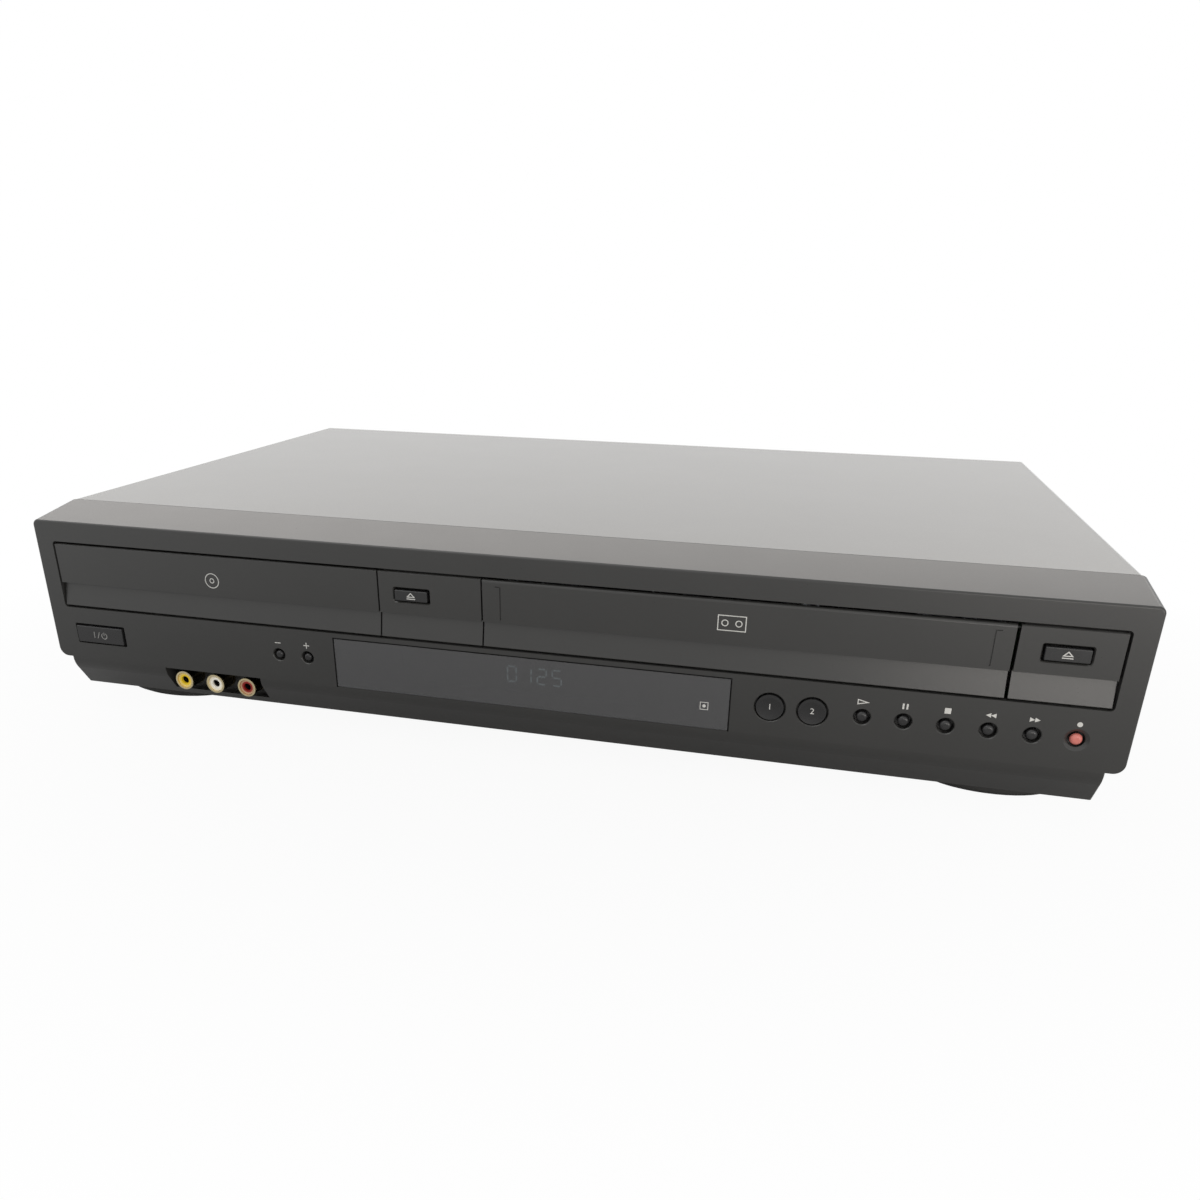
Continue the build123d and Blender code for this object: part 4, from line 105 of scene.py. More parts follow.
def length_property(name, description, default):
    """A length in metres that a user can change."""
    return FloatProperty(name=name, description=description, default=default, unit="LENGTH", precision=5)


def angle_property(name, description, degrees):
    """An angle that a user can change."""
    return FloatProperty(name=name, description=description, subtype="ANGLE", default=math.radians(degrees))


def number_property(name, description, default):
    """A plain number that a user can change."""
    return FloatProperty(name=name, description=description, default=default)


class PlayerColours(bpy.types.PropertyGroup):
    """Colours of the player's finishes."""

    panel: colour_property("Panel", "Matte moulding of the front", (0.028, 0.028, 0.027))
    cover: colour_property("Cover", "Satin paint of the folded cover", (0.035, 0.034, 0.032))
    button: colour_property("Buttons", "Smooth dark plastic of the buttons", (0.014, 0.014, 0.0145))
    record: colour_property("Record button", "Coral red plastic", (0.5, 0.15, 0.125))
    window: colour_property("Window", "Tint of the smoked window", (0.12, 0.122, 0.126))
    ink: colour_property("Ink", "Pale print on the front", (0.5, 0.5, 0.48))
    glow: colour_property("Display", "Segments of the display", (0.42, 0.55, 0.56))
    steel: colour_property("Sheet steel", "Zinc-plated sheet", (0.56, 0.57, 0.58))
    nickel: colour_property("Nickel", "Bright plate of the sockets", (0.72, 0.7, 0.66))
    gold: colour_property("Front sockets", "Pale gold plate of the front sockets", (0.8, 0.68, 0.42))
    white_parts: colour_property("White mouldings", "Natural plastic of gears and reels", (0.76, 0.75, 0.7))
    board: colour_property("Boards", "Solder mask", (0.03, 0.15, 0.05))
    yellow: colour_property("Video sockets", "Yellow inserts", (0.75, 0.52, 0.02))
    white: colour_property("Left sockets", "White inserts", (0.82, 0.8, 0.72))
    red: colour_property("Right sockets", "Red inserts", (0.24, 0.012, 0.008))
    orange: colour_property("Digital socket", "Orange insert", (0.8, 0.2, 0.01))
    green: colour_property("First component socket", "Green insert", (0.02, 0.3, 0.04))
    blue: colour_property("Second component socket", "Blue insert", (0.01, 0.06, 0.4))


class PlayerMarks(bpy.types.PropertyGroup):
    """Sizes of the printed marks."""

    rise: length_property("Rise", "Marks above the middle of the transport buttons", 5.9 * MM)
    track_rise: length_property("Tracking rise", "Signs above the tracking buttons", 5.2 * MM)
    height: length_property("Height", "Height of a transport mark", 2.15 * MM)
    line: length_property("Line", "Width of a printed line", 0.35 * MM)
    fine: length_property("Fine line", "Width of a thin printed line", 0.26 * MM)
    sign: length_property("Sign", "Width of the tracking signs", 2.6 * MM)
    eject: length_property("Eject sign", "Width of the eject sign", 3.6 * MM)
    power: length_property("Power sign", "Height of the power sign", 2.8 * MM)
    numeral: length_property("Numerals", "Height of the printed numbers", 3.3 * MM)
    sensor: length_property("Sensor mark", "Size of the mark on the window", 2.9 * MM)
    sensor_dot: length_property("Sensor dot", "Radius of the dot in that mark", 0.638 * MM)
    sensor_level: number_property("Sensor level", "Mark up the window, as a share of its height", 0.42)
    sensor_inset: length_property("Sensor inset", "Mark from the window's right end", 12.0 * MM)
    # the line round the window is a dark strip of painted shade along its seam
    gasket: length_property("Seam_shade", "Width of the line round the window", 0.42 * MM)
    disc: length_property("Disc sign", "Radius of the disc sign", 3.0 * MM)
    disc_level: number_property("Disc level", "Sign up the tray front, as a share of its height", 0.62)
    hub: length_property("Hub", "Radius of the ring inside the disc sign", 0.9 * MM)
    cassette: length_property("Cassette sign", "Width of the cassette sign", 10.0 * MM)
    cassette_tall: length_property("Cassette sign height", "Height of the cassette sign", 5.6 * MM)
    cassette_level: number_property("Cassette level", "Sign up the door, as a share of its height", 0.68)
    reel: length_property("Reel", "Radius of a reel in the cassette sign", 1.1 * MM)
    reel_reach: length_property("Reel reach", "Reels from the middle of the cassette sign", 2.5 * MM)
    digit: length_property("Digit", "Width of a digit of the display", 3.6 * MM)
    digit_tall: length_property("Digit height", "Height of a digit of the display", 6.4 * MM)
    digit_pitch: length_property("Digit pitch", "From one digit of the display to the next", 6.12 * MM)
    digit_reach: length_property("First digit", "First digit from the middle of the display", 6.0 * MM)
    segment: length_property("Segment", "Width of a segment of the display", 0.6 * MM)
    film: length_property("Film", "Thickness of segments and gasket above their surface", 0.03 * MM)
    rear_margin: length_property("Rear outlines", "Room beside the sockets in the rear outlines", 22.0 * MM)
    rear_tall: length_property("Rear outline height", "Height of the outline round a row", 16.5 * MM)
    aerial_tall: length_property("Aerial outline height", "Height of the aerial outline", 38.5 * MM)
    number_reach: length_property("Rear numbers", "Numbers from the middles of their sockets", 8.4126 * MM)
    cross: length_property("Screw cross", "Size of the cross in a screw head", 3.4 * MM)
    ink: length_property("Ink", "Thickness of the print above its surface", 0.02 * MM)


class PlayerStage(bpy.types.PropertyGroup):
    """Camera and light."""

    place: FloatVectorProperty(
        name="Camera",
        description="Place of the camera",
        subtype="TRANSLATION",
        unit="LENGTH",
        size=3,
        default=(0.10095, -0.45631, 0.17764),
    )
    yaw: angle_property("Yaw", "Turn to the left", 13.65)
    pitch: angle_property("Pitch", "Tilt", -22.82)
    roll: angle_property("Roll", "Lean", -0.68)
    lens: number_property("Lens", "Focal length in millimetres", 28.41)
    shift_x: number_property("Shift X", "Frame moved sideways", 0.016)
    shift_y: number_property("Shift Y", "Frame moved up", 0.068)
    key_power: number_property("Key", "Power of the large lamp above, in watts", 11.0)
    left_power: number_property("Left", "Power of the lamp at the left, in watts", 0.8)
    right_power: number_property("Right", "Power of the lamp at the right, in watts", 1.7)
    strip_power: number_property("Strip", "Power of the low strip lamp, in watts", 0.75)
    rim_power: number_property("Rim", "Power of the lamp behind, in watts", 9.6)
    warmth: colour_property("Warmth", "Colour of the lamps at the right and behind", (1.0, 0.95, 0.9))
    dome: number_property("Dome", "Strength of the even light", 0.5)


class Value:
    """A number that changes over a surface and takes part in Python sums."""

    def __init__(self, finish, socket):
        self.finish = finish
        self.socket = socket

    def maths(self, operation, *terms):
        """A Math node on these terms."""
        made = self.finish.node("ShaderNodeMath", dict(enumerate(terms)), operation=operation)
        return Value(self.finish, made.outputs[0])

    def __add__(self, other):
        return self.maths("ADD", self, other)

    def __sub__(self, other):
        return self.maths("SUBTRACT", self, other)

    def __rsub__(self, other):
        return self.maths("SUBTRACT", other, self)

    def __mul__(self, other):
        return self.maths("MULTIPLY", self, other)

    def __lt__(self, other):
        return self.maths("LESS_THAN", self, other)

    def __gt__(self, other):
        return self.maths("GREATER_THAN", self, other)

    def __abs__(self):
        return self.maths("ABSOLUTE", self)

    def root(self):
        """Square root."""
        return self.maths("SQRT", self)

    def most(self, limit):
        """The value, or the limit where that is smaller."""
        return self.maths("MINIMUM", self, limit)

    def near(self, middle, half):
        """One within half of the middle, else zero."""
        return abs(self - middle) < half


class Graph:
    """The nodes of one material or of the world."""

    def __init__(self, tree):
        self.tree = tree

    def feed(self, socket, value):
        """Set a socket, or link it."""
        if isinstance(value, Value):
            value = value.socket
        if isinstance(value, bpy.types.NodeSocket):
            self.tree.links.new(value, socket)
        elif socket.type == "RGBA" and len(value) == 3:
            socket.default_value = (*value, 1.0)
        else:
            socket.default_value = value

    def node(self, kind, inputs=None, **settings):
        """Any node, with the values or links of its sockets, and its settings."""
        made = self.tree.nodes.new(kind)
        for name, value in settings.items():
            setattr(made, name, value)
        for key, value in (inputs or {}).items():
            self.feed(made.inputs[key], value)
        return made

    def seen(self):
        """One for camera rays, and one for rays by way of shiny or clear surfaces, else zero."""
        path = self.node("ShaderNodeLightPath")
        names = ("Is Camera Ray", "Is Glossy Ray", "Is Transmission Ray")
        camera, glossy, through = [Value(self, path.outputs[name]) for name in names]
        return camera, (glossy + through).most(1.0)

    def end_with(self, plain, white, factor):
        """Send a mix of two shaders to the output."""
        both = self.node("ShaderNodeMixShader", {0: factor, 1: plain.outputs[0], 2: white.outputs[0]})
        output = next(node for node in self.tree.nodes if node.type.startswith("OUTPUT"))
        self.feed(output.inputs["Surface"], both.outputs[0])


class Finish(Graph):
    """A node material for one finish, built on a Principled shader."""

    def __init__(self, name, **sockets):
        self.material = bpy.data.materials.new(name)
        self.material.use_nodes = True
        super().__init__(self.material.node_tree)
        self.shader = self.tree.nodes["Principled BSDF"]
        self.set(**sockets)

    def set(self, **sockets):
        """Feed the shader's sockets, named in lower case with underscores."""
        for name, value in sockets.items():
            title = " ".join(word if word == "IOR" else word.capitalize() for word in name.split("_"))
            self.feed(self.shader.inputs[title], value)

    def place(self):
        """Object coordinates."""
        return self.node("ShaderNodeTexCoord").outputs["Object"]

    def split(self, vector):
        """X, Y and Z of a vector."""
        parts = self.node("ShaderNodeSeparateXYZ", {"Vector": vector})
        return [Value(self, part) for part in parts.outputs]

    def axes(self):
        """X, Y and Z of the object coordinates."""
        return self.split(self.place())

    def facing(self):
        """X, Y and Z of the surface's normal."""
        return self.split(self.node("ShaderNodeNewGeometry").outputs["Normal"])

    def noise(self, scale, detail=2.0, stretch=(1.0, 1.0, 1.0)):
        """Noise from zero to one, its grains stretched along an axis."""
        mapped = self.node("ShaderNodeMapping", {"Vector": self.place(), "Scale": stretch})
        sockets = {"Vector": mapped.outputs[0], "Scale": scale, "Detail": detail}
        return Value(self, self.node("ShaderNodeTexNoise", sockets).outputs[0])

    def blend(self, factor, low, high):
        """A colour between two colours."""
        made = self.node("ShaderNodeMix", {0: factor, 6: low, 7: high}, data_type="RGBA")
        return made.outputs[2]

    def tint(self, noise, colour, swing):
        """Base colour about a colour, made darker and lighter by a share of it."""
        self.set(base_color=self.blend(noise, shade(colour, 1.0 - swing), shade(colour, 1.0 + swing)))

    def rough(self, middle, *swings):
        """Roughness about a middle value, moved by noises, each with the whole width of its swing."""
        value = middle - sum(width for _, width in swings) / 2
        for noise, width in swings:
            value = noise * width + value
        self.set(roughness=value)

    def relief(self, height, strength, distance):
        """Small bumps in the surface."""
        sockets = {"Height": height, "Strength": strength, "Distance": distance}
        self.set(normal=self.node("ShaderNodeBump", sockets).outputs[0])


def shade(colour, factor):
    """A colour made darker or lighter."""
    return tuple(min(1.0, c * factor) for c in colour)


def moulded(name, colour, roughness=0.3):
    """Matte moulding with a fine grain."""
    finish = Finish(name)
    fine = finish.noise(1400.0)
    broad = finish.noise(35.0, detail=3.0)
    finish.tint(broad, colour, 0.07)
    finish.rough(roughness, (fine, 0.08), (broad, 0.04))
    finish.relief(fine, strength=0.12, distance=0.05 * MM)
    return finish.material


def satin_paint(name, colour):
    """Satin paint on folded steel, with a faint texture."""
    finish = Finish(name, coat_weight=0.88, coat_roughness=0.2, coat_tint=(1.0, 0.995, 0.97))
    fine = finish.noise(2200.0)
    broad = finish.noise(18.0, detail=3.0)
    finish.tint(broad, colour, 0.06)
    finish.rough(0.355, (fine, 0.06), (broad, 0.05))
    finish.relief(fine, strength=0.05, distance=0.03 * MM)
    return finish.material


def smooth_plastic(name, colour, roughness=0.3):
    """Smooth moulding with a soft shine."""
    finish = Finish(name, base_color=colour)
    finish.rough(roughness, (finish.noise(260.0, detail=3.0), 0.1))
    return finish.material


def two_shot(name, colour, back, depth):
    """A coloured cap on a dark stem, parted at a depth."""
    finish = Finish(name)
    stem = finish.axes()[1] > depth
    finish.set(base_color=finish.blend(stem, colour, back))
    finish.rough(0.35, (finish.noise(260.0, detail=3.0), 0.1))
    return finish.material


def sheet_metal(name, colour, stretch=ALONG_X, roughness=0.36):
    """Rolled sheet with fine lines along one axis."""
    finish = Finish(name, metallic=1.0)
    lines = finish.noise(900.0, detail=3.0, stretch=stretch)
    cloud = finish.noise(24.0, detail=4.0)
    finish.set(base_color=finish.blend(cloud, shade(colour, 0.9), shade(colour, 1.06)))
    finish.rough(roughness, (lines, 0.16), (cloud, 0.06))
    finish.relief(lines, strength=0.06, distance=0.02 * MM)
    return finish.material


def bright_plate(name, colour, roughness):
    """Bright plated metal."""
    finish = Finish(name, base_color=colour, metallic=1.0)
    finish.rough(roughness, (finish.noise(700.0), 0.08))
    return finish.material


def turned_alloy(name, colour, middle):
    """Alloy with fine rings about an upright axis."""
    finish = Finish(name, base_color=colour, metallic=1.0)
    x, y = finish.axes()[:2]
    across = x - middle.x
    along = y - middle.y
    radius = (across * across + along * along).root()
    rings = finish.node("ShaderNodeTexNoise", {"W": radius, "Scale": 5200.0}, noise_dimensions="1D")
    finish.rough(0.23, (Value(finish, rings.outputs[0]), 0.22))
    return finish.material


def soft_rubber(name, colour, shine=0.5):
    """Dull rubber with a little bloom."""
    finish = Finish(name, specular_IOR_level=shine)
    cloud = finish.noise(60.0, detail=4.0)
    finish.set(base_color=finish.blend(cloud, colour, shade(colour, 1.5)))
    finish.rough(0.78, (cloud, 0.12))
    return finish.material


def smoked(name, tint):
    """Clear plastic, tinted nearly black."""
    finish = Finish(name, base_color=tint, transmission_weight=0.5, IOR=1.49)
    finish.rough(0.145, (finish.noise(300.0), 0.05))
    return finish.material


def masked_board(name, colour):
    """Solder mask over copper tracks, with tinned pads."""
    finish = Finish(name)
    cells = {"Vector": finish.place(), "Scale": 240.0, "Randomness": 0.7}
    edge = finish.node("ShaderNodeTexVoronoi", cells, feature="DISTANCE_TO_EDGE")
    track = Value(finish, edge.outputs["Distance"]) < 0.07
    dots = finish.node("ShaderNodeTexVoronoi", cells, feature="F1")
    pad = Value(finish, dots.outputs["Distance"]) < 0.16
    tracks = finish.blend(track, colour, shade(colour, 1.7))
    tin = (0.6, 0.6, 0.58)
    finish.set(base_color=finish.blend(pad, tracks, tin))
    finish.set(metallic=pad * 0.9, roughness=0.42 - pad * 0.12)
    return finish.material


def wound_core(name, box, coil_wide=0.56, coil_tall=0.46):
    """Laminated core with a taped coil in the middle, as wide and tall as these shares of the core."""
    low, high = box
    finish = Finish(name)
    across, _, rise = finish.axes()
    middle = (low + high) / 2
    half = (high - low) / 2
    coil = across.near(middle.x, coil_wide * half.x) * rise.near(middle.z, coil_tall * half.z)
    sheets = finish.noise(1800.0, detail=1.0, stretch=(0.02, 1.0, 0.02))
    iron = finish.blend(sheets, (0.05, 0.05, 0.055), (0.16, 0.155, 0.15))
    tape = (0.62, 0.42, 0.06)
    finish.set(base_color=finish.blend(coil, iron, tape))
    finish.set(metallic=(1.0 - coil) * 0.8, roughness=0.5 - coil * 0.15)
    return finish.material


def sleeved_cans(name):
    """Dark printed sleeves with bare alloy tops."""
    finish = Finish(name)
    top = finish.facing()[2] > 0.7
    sleeve = finish.blend(finish.noise(90.0), (0.012, 0.018, 0.06), (0.02, 0.028, 0.085))
    alloy = (0.62, 0.62, 0.63)
    finish.set(base_color=finish.blend(top, sleeve, alloy), metallic=top)
    finish.rough(0.29, (finish.noise(500.0), 0.1))
    return finish.material


def socket_plate(name, colours, front):
    """Plated shells, nickel at the rear and pale gold at the front, with painted shade behind the front
    rims.
    """
    finish = Finish(name, metallic=1.0)
    depth = finish.axes()[1]
    # painted shade: behind the lit rims the gold shells get a dark copy of the gold, for the shaded pocket
    gold = finish.blend(depth > front + UNSHADED_RIM, colours.gold, shade(colours.gold, 0.15))
    finish.set(base_color=finish.blend(depth > 0.0, gold, colours.nickel))
    finish.rough(0.18, (finish.noise(700.0), 0.08))
    return finish.material


def inked(name, colour):
    """Printed ink, a little uneven."""
    finish = Finish(name)
    cloud = finish.noise(900.0)
    finish.tint(cloud, colour, 0.1)
    finish.rough(0.5, (cloud, 0.1))
    return finish.material


def socket_plastic(name, colours, box):
    """Coloured inserts, one colour for each signal, chosen by where the socket is, with painted shade deeper
    in their holes.
    """
    low, high = box
    finish = Finish(name, roughness=0.32)
    x, y, z = finish.axes()
    lower_row = (colours.yellow, colours.white, colours.red, colours.yellow, colours.orange)
    upper_row = (colours.green, colours.blue, colours.red, colours.white, colours.red)
    colour = finish.blend(x > FRONT_SOCKET - FRONT_PITCH / 2, colours.yellow, colours.white)
    colour = finish.blend(x > FRONT_SOCKET + FRONT_PITCH / 2, colour, colours.red)
    rear = y > 0.0
    upper = z > sum(REAR_ROWS) / 2
    for i in range(REAR_COLUMNS):
        here = x.near(REAR_SOCKET + i * REAR_PITCH, REAR_PITCH / 2) * rear
        colour = finish.blend(here * (1.0 - upper), colour, lower_row[i])
        colour = finish.blend(here * upper, colour, upper_row[i])
    ring = 1.0 - rear
    for i in (-1, 0, 1):
        across = x - (FRONT_SOCKET + i * FRONT_PITCH)
        rise = z - FRONT_RISE
        ring = ring * ((across * across + rise * rise).root() > PALE_RING)
    colour = finish.blend(ring * PALE_SHARE, colour, colours.gold)
    # painted shade: all of an insert deeper than its lip is nearly black, for the shade in its hole
    inside = y.near((low.y + high.y) / 2, (high.y - low.y) / 2 - UNSHADED_LIP)
    hole_shade = (0.006, 0.006, 0.006)
    finish.set(base_color=finish.blend(inside, colour, hole_shade))
    return finish.material


def dress(material, *names):
    """Give CAD nodes a finish."""
    for name in names:
        for place in NODES[name].material_slots:
            place.material = material


def middle_of(name):
    """Middle of a CAD node."""
    low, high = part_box(name)
    return (low + high) / 2


class Print:
    """Thin marks drawn in X and Z, then laid on a flat or dished surface."""

    def __init__(self, face, ink):
        self.mesh = bmesh.new()
        self.face = face
        self.ink = ink

    def shape(self, points):
        """A filled outline."""
        return self.mesh.faces.new([self.mesh.verts.new((x, 0.0, z)) for x, z in points])

    def bar(self, x, z, wide, tall, lean=0.0):
        """A filled rectangle about a middle, its upper end moved sideways by twice the lean."""
        corners = ((-1, -1), (1, -1), (1, 1), (-1, 1))
        self.shape([(x + a * wide / 2 + b * lean, z + b * tall / 2) for a, b in corners])

    def circle(self, x, z, radius, filled=False, segments=48):
        """The edges of a circle."""
        place = Matrix.Translation((x, 0.0, z)) @ Matrix.Rotation(math.pi / 2, 4, "X")
        made = bmesh.ops.create_circle(
            self.mesh, cap_ends=filled, segments=segments, radius=radius, matrix=place
        )
        return list({edge for vert in made["verts"] for edge in vert.link_edges})

    def dot(self, x, z, radius):
        """A filled circle."""
        self.circle(x, z, radius, filled=True)

    def ring(self, x, z, radius, line):
        """A circle drawn as a line."""
        edges = self.circle(x, z, radius + line / 2) + self.circle(x, z, radius - line / 2)
        return bmesh.ops.bridge_loops(self.mesh, edges=edges)["faces"]

    def open_ring(self, x, z, radius, line, gap):
        """A ring with an opening at its top, as wide as the gap."""
        faces = self.ring(x, z, radius, line)
        middles = [(face, face.calc_center_median()) for face in faces]
        opening = [face for face, at in middles if at.z > z and abs(at.x - x) < gap / 2]
        bmesh.ops.delete(self.mesh, geom=opening, context="FACES")

    def frame(self, x, z, wide, tall, line):
        """A rectangle drawn as a line."""
        for side in (-1, 1):
            self.bar(x, z + side * tall / 2, wide + line, line)
            self.bar(x + side * wide / 2, z, line, tall - line)

    def triangle(self, x, z, wide, tall, point=1.0):
        """A filled triangle that points right, or left with point at minus one."""
        tip = x + point * wide / 2
        back = x - point * wide / 2
        self.shape([(back, z - tall / 2), (tip, z), (back, z + tall / 2)])

    def outline(self, points, line):
        """A closed outline drawn as a line."""
        face = self.shape(points)
        face.normal_update()
        bmesh.ops.inset_region(
            self.mesh, faces=[face], thickness=line, use_boundary=True, use_even_offset=True
        )
        bmesh.ops.delete(self.mesh, geom=[face], context="FACES")

    def numeral(self, words, x, z, size, behind=False):
        """Plain numerals about a middle, turned round for a surface that faces the rear."""
        curve = bpy.data.curves.new("numeral", "FONT")
        curve.body = words
        curve.size = size
        curve.align_x = "CENTER"
        curve.align_y = "CENTER"
        holder = bpy.data.objects.new("numeral", curve)
        data = bpy.data.meshes.new_from_object(holder)
        turn = Matrix.Rotation(math.pi if behind else 0.0, 4, "Z") @ Matrix.Rotation(math.pi / 2, 4, "X")
        data.transform(Matrix.Translation((x, 0.0, z)) @ turn)
        self.mesh.from_mesh(data)
        bpy.data.objects.remove(holder)
        bpy.data.curves.remove(curve)
        bpy.data.meshes.remove(data)

    def finish(self, name, material, body, slot="mark_ink", dish=None, sideways=False):
        """Give the marks their thickness, lay them on the surface and put them on a body."""
        mesh = self.mesh
        made = bmesh.ops.extrude_face_region(mesh, geom=mesh.faces[:], use_keep_orig=True)
        moved = [item for item in made["geom"] if isinstance(item, bmesh.types.BMVert)]
        bmesh.ops.translate(mesh, verts=moved, vec=(0.0, 2.0 * self.ink, 0.0))
        bmesh.ops.translate(mesh, verts=mesh.verts[:], vec=(0.0, self.face - self.ink, 0.0))
        bmesh.ops.recalc_face_normals(mesh, faces=mesh.faces[:])
        if dish:
            for vert in mesh.verts:
                across = (vert.co.x - dish.x) ** 2 + (vert.co.z - dish.z) ** 2
                vert.co.y -= DISH_RADIUS - math.sqrt(DISH_RADIUS**2 - across)
        if sideways:
            turn = Matrix.Rotation(-math.pi / 2, 3, "Z")
            bmesh.ops.rotate(mesh, verts=mesh.verts[:], cent=(0.0, 0.0, 0.0), matrix=turn)
        return piece(name, mesh, material, body)


def piece(name, mesh, material, body):
    """A new object from a bmesh, riding on a body."""
    data = bpy.data.meshes.new(name)
    mesh.to_mesh(data)
    mesh.free()
    data.materials.append(material)
    made = bpy.data.objects.new(name, data)
    bpy.context.scene.collection.objects.link(made)
    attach(made, body)
    return made


class PLAYER_OT_case(bpy.types.Operator):
    """Finish the cover, panels, trims, feet and screws"""

    bl_idname = "player.case"
    bl_label = "Case"

    def execute(self, context):
        colours = context.scene.player_colours
        panel = moulded("panel moulding", colours.panel)
        dress(panel, "front_panel", "tray_front", "cassette_door", "disc_eject_trim", "tape_eject_trim")
        dress(moulded("foot moulding", shade(colours.panel, 0.8), roughness=0.55), "feet", "cord_gland")
        dress(satin_paint("cover paint", colours.cover), "top_cover")
        dress(sheet_metal("plated sheet", colours.steel), "chassis_base", "rear_panel")
        dress(bright_plate("black screw plate", (0.05, 0.05, 0.052), roughness=0.3), "case_screws")
        dress(soft_rubber("foot rubber", (0.02, 0.02, 0.02)), "foot_pads")
        return {"FINISHED"}


class PLAYER_OT_controls(bpy.types.Operator):
    """Finish the buttons, the window and the sockets"""

    bl_idname = "player.controls"
    bl_label = "Controls"

    def execute(self, context):
        colours = context.scene.player_colours
        black = smooth_plastic("button plastic", colours.button, roughness=0.28)
        names = ["power", *EJECT, *TRACKING, *SELECT, *TRANSPORT]
        dress(black, *[f"{name}_button" for name in names if name != "record"])
        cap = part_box("record_button")[0].y + RECORD_CAP
        dress(two_shot("record plastic", colours.record, colours.button, cap), "record_button")
        dress(smoked("smoked window", colours.window), "display_window")
        dress(socket_plate("socket plate and shade", colours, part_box("socket_shells")[0].y), "socket_shells")
        dress(socket_plastic("socket colours and shade", colours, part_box("socket_inserts")), "socket_inserts")
        block = moulded("socket block", (0.015, 0.015, 0.015), roughness=0.5)
        dress(block, "socket_blocks", "push_switches")
        return {"FINISHED"}


class PLAYER_OT_electronics(bpy.types.Operator):
    """Finish the boards and what stands on them"""

    bl_idname = "player.electronics"
    bl_label = "Electronics"

    def execute(self, context):
        colours = context.scene.player_colours
        dress(masked_board("solder mask", colours.board), "circuit_boards")
        dress(wound_core("laminated core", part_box("transformer")), "transformer")
        dress(sleeved_cans("sleeved cans"), "capacitors")
        can = sheet_metal("tuner can", shade(colours.steel, 1.1), stretch=ALONG_Z, roughness=0.3)
        dress(can, "tuner_module")
        dress(smooth_plastic("display tube", (0.008, 0.012, 0.012), roughness=0.14), "display_module")
        return {"FINISHED"}


class PLAYER_OT_loader(bpy.types.Operator):
    """Finish the disc loader"""

    bl_idname = "player.loader"
    bl_label = "Disc loader"

    def execute(self, context):
        colours = context.scene.player_colours
        dress(moulded("tray moulding", (0.035, 0.035, 0.036), roughness=0.4), "disc_tray")
        dress(moulded("loader moulding", (0.03, 0.03, 0.03), roughness=0.5), "loader_frame", "disc_clamp")
        white = smooth_plastic("white moulding", colours.white_parts, roughness=0.4)
        dress(white, "tray_gear", "tray_motor_pulley", "traverse_frame")
        dress(soft_rubber("belt rubber", (0.018, 0.018, 0.018)), "tray_belt")
        dress(sheet_metal("bridge sheet", colours.steel, stretch=ALONG_Y), "clamp_bridge")
        steel = bright_plate("ground steel", (0.66, 0.66, 0.67), roughness=0.2)
        dress(steel, "sled_rods", "tray_motor")
        dress(moulded("platter moulding", (0.02, 0.02, 0.021), roughness=0.35), "turntable")
        dress(moulded("pickup moulding", (0.016, 0.016, 0.018), roughness=0.34), "optical_pickup")
        return {"FINISHED"}


class PLAYER_OT_deck(bpy.types.Operator):
    """Finish the tape deck"""

    bl_idname = "player.deck"
    bl_label = "Tape deck"

    def execute(self, context):
        colours = context.scene.player_colours
        deck = sheet_metal("deck sheet", colours.steel)
        dress(deck, "deck_plate", "carriage_slider", "cassette_holder")
        dress(sheet_metal("side sheet", colours.steel, stretch=ALONG_Y), "carriage_plates")
        dress(bright_plate("deck posts", (0.62, 0.61, 0.58), roughness=0.22), "deck_posts")
        dress(bright_plate("black rod plate", (0.02, 0.02, 0.02), roughness=0.4), "door_rod")
        white = smooth_plastic("reel plastic", colours.white_parts, roughness=0.38)
        dress(white, "supply_reel", "take_up_reel")
        dress(smooth_plastic("arm plastic", (0.05, 0.05, 0.052), roughness=0.4), "pinch_arm")
        dress(soft_rubber("roller rubber", (0.022, 0.022, 0.022)), "pinch_roller")
        alloy = (0.72, 0.73, 0.74)
        dress(turned_alloy("drum alloy", alloy, middle_of("head_drum")), "head_drum", "drum_base")
        dress(turned_alloy("capstan steel", (0.6, 0.6, 0.61), middle_of("capstan")), "capstan")
        return {"FINISHED"}


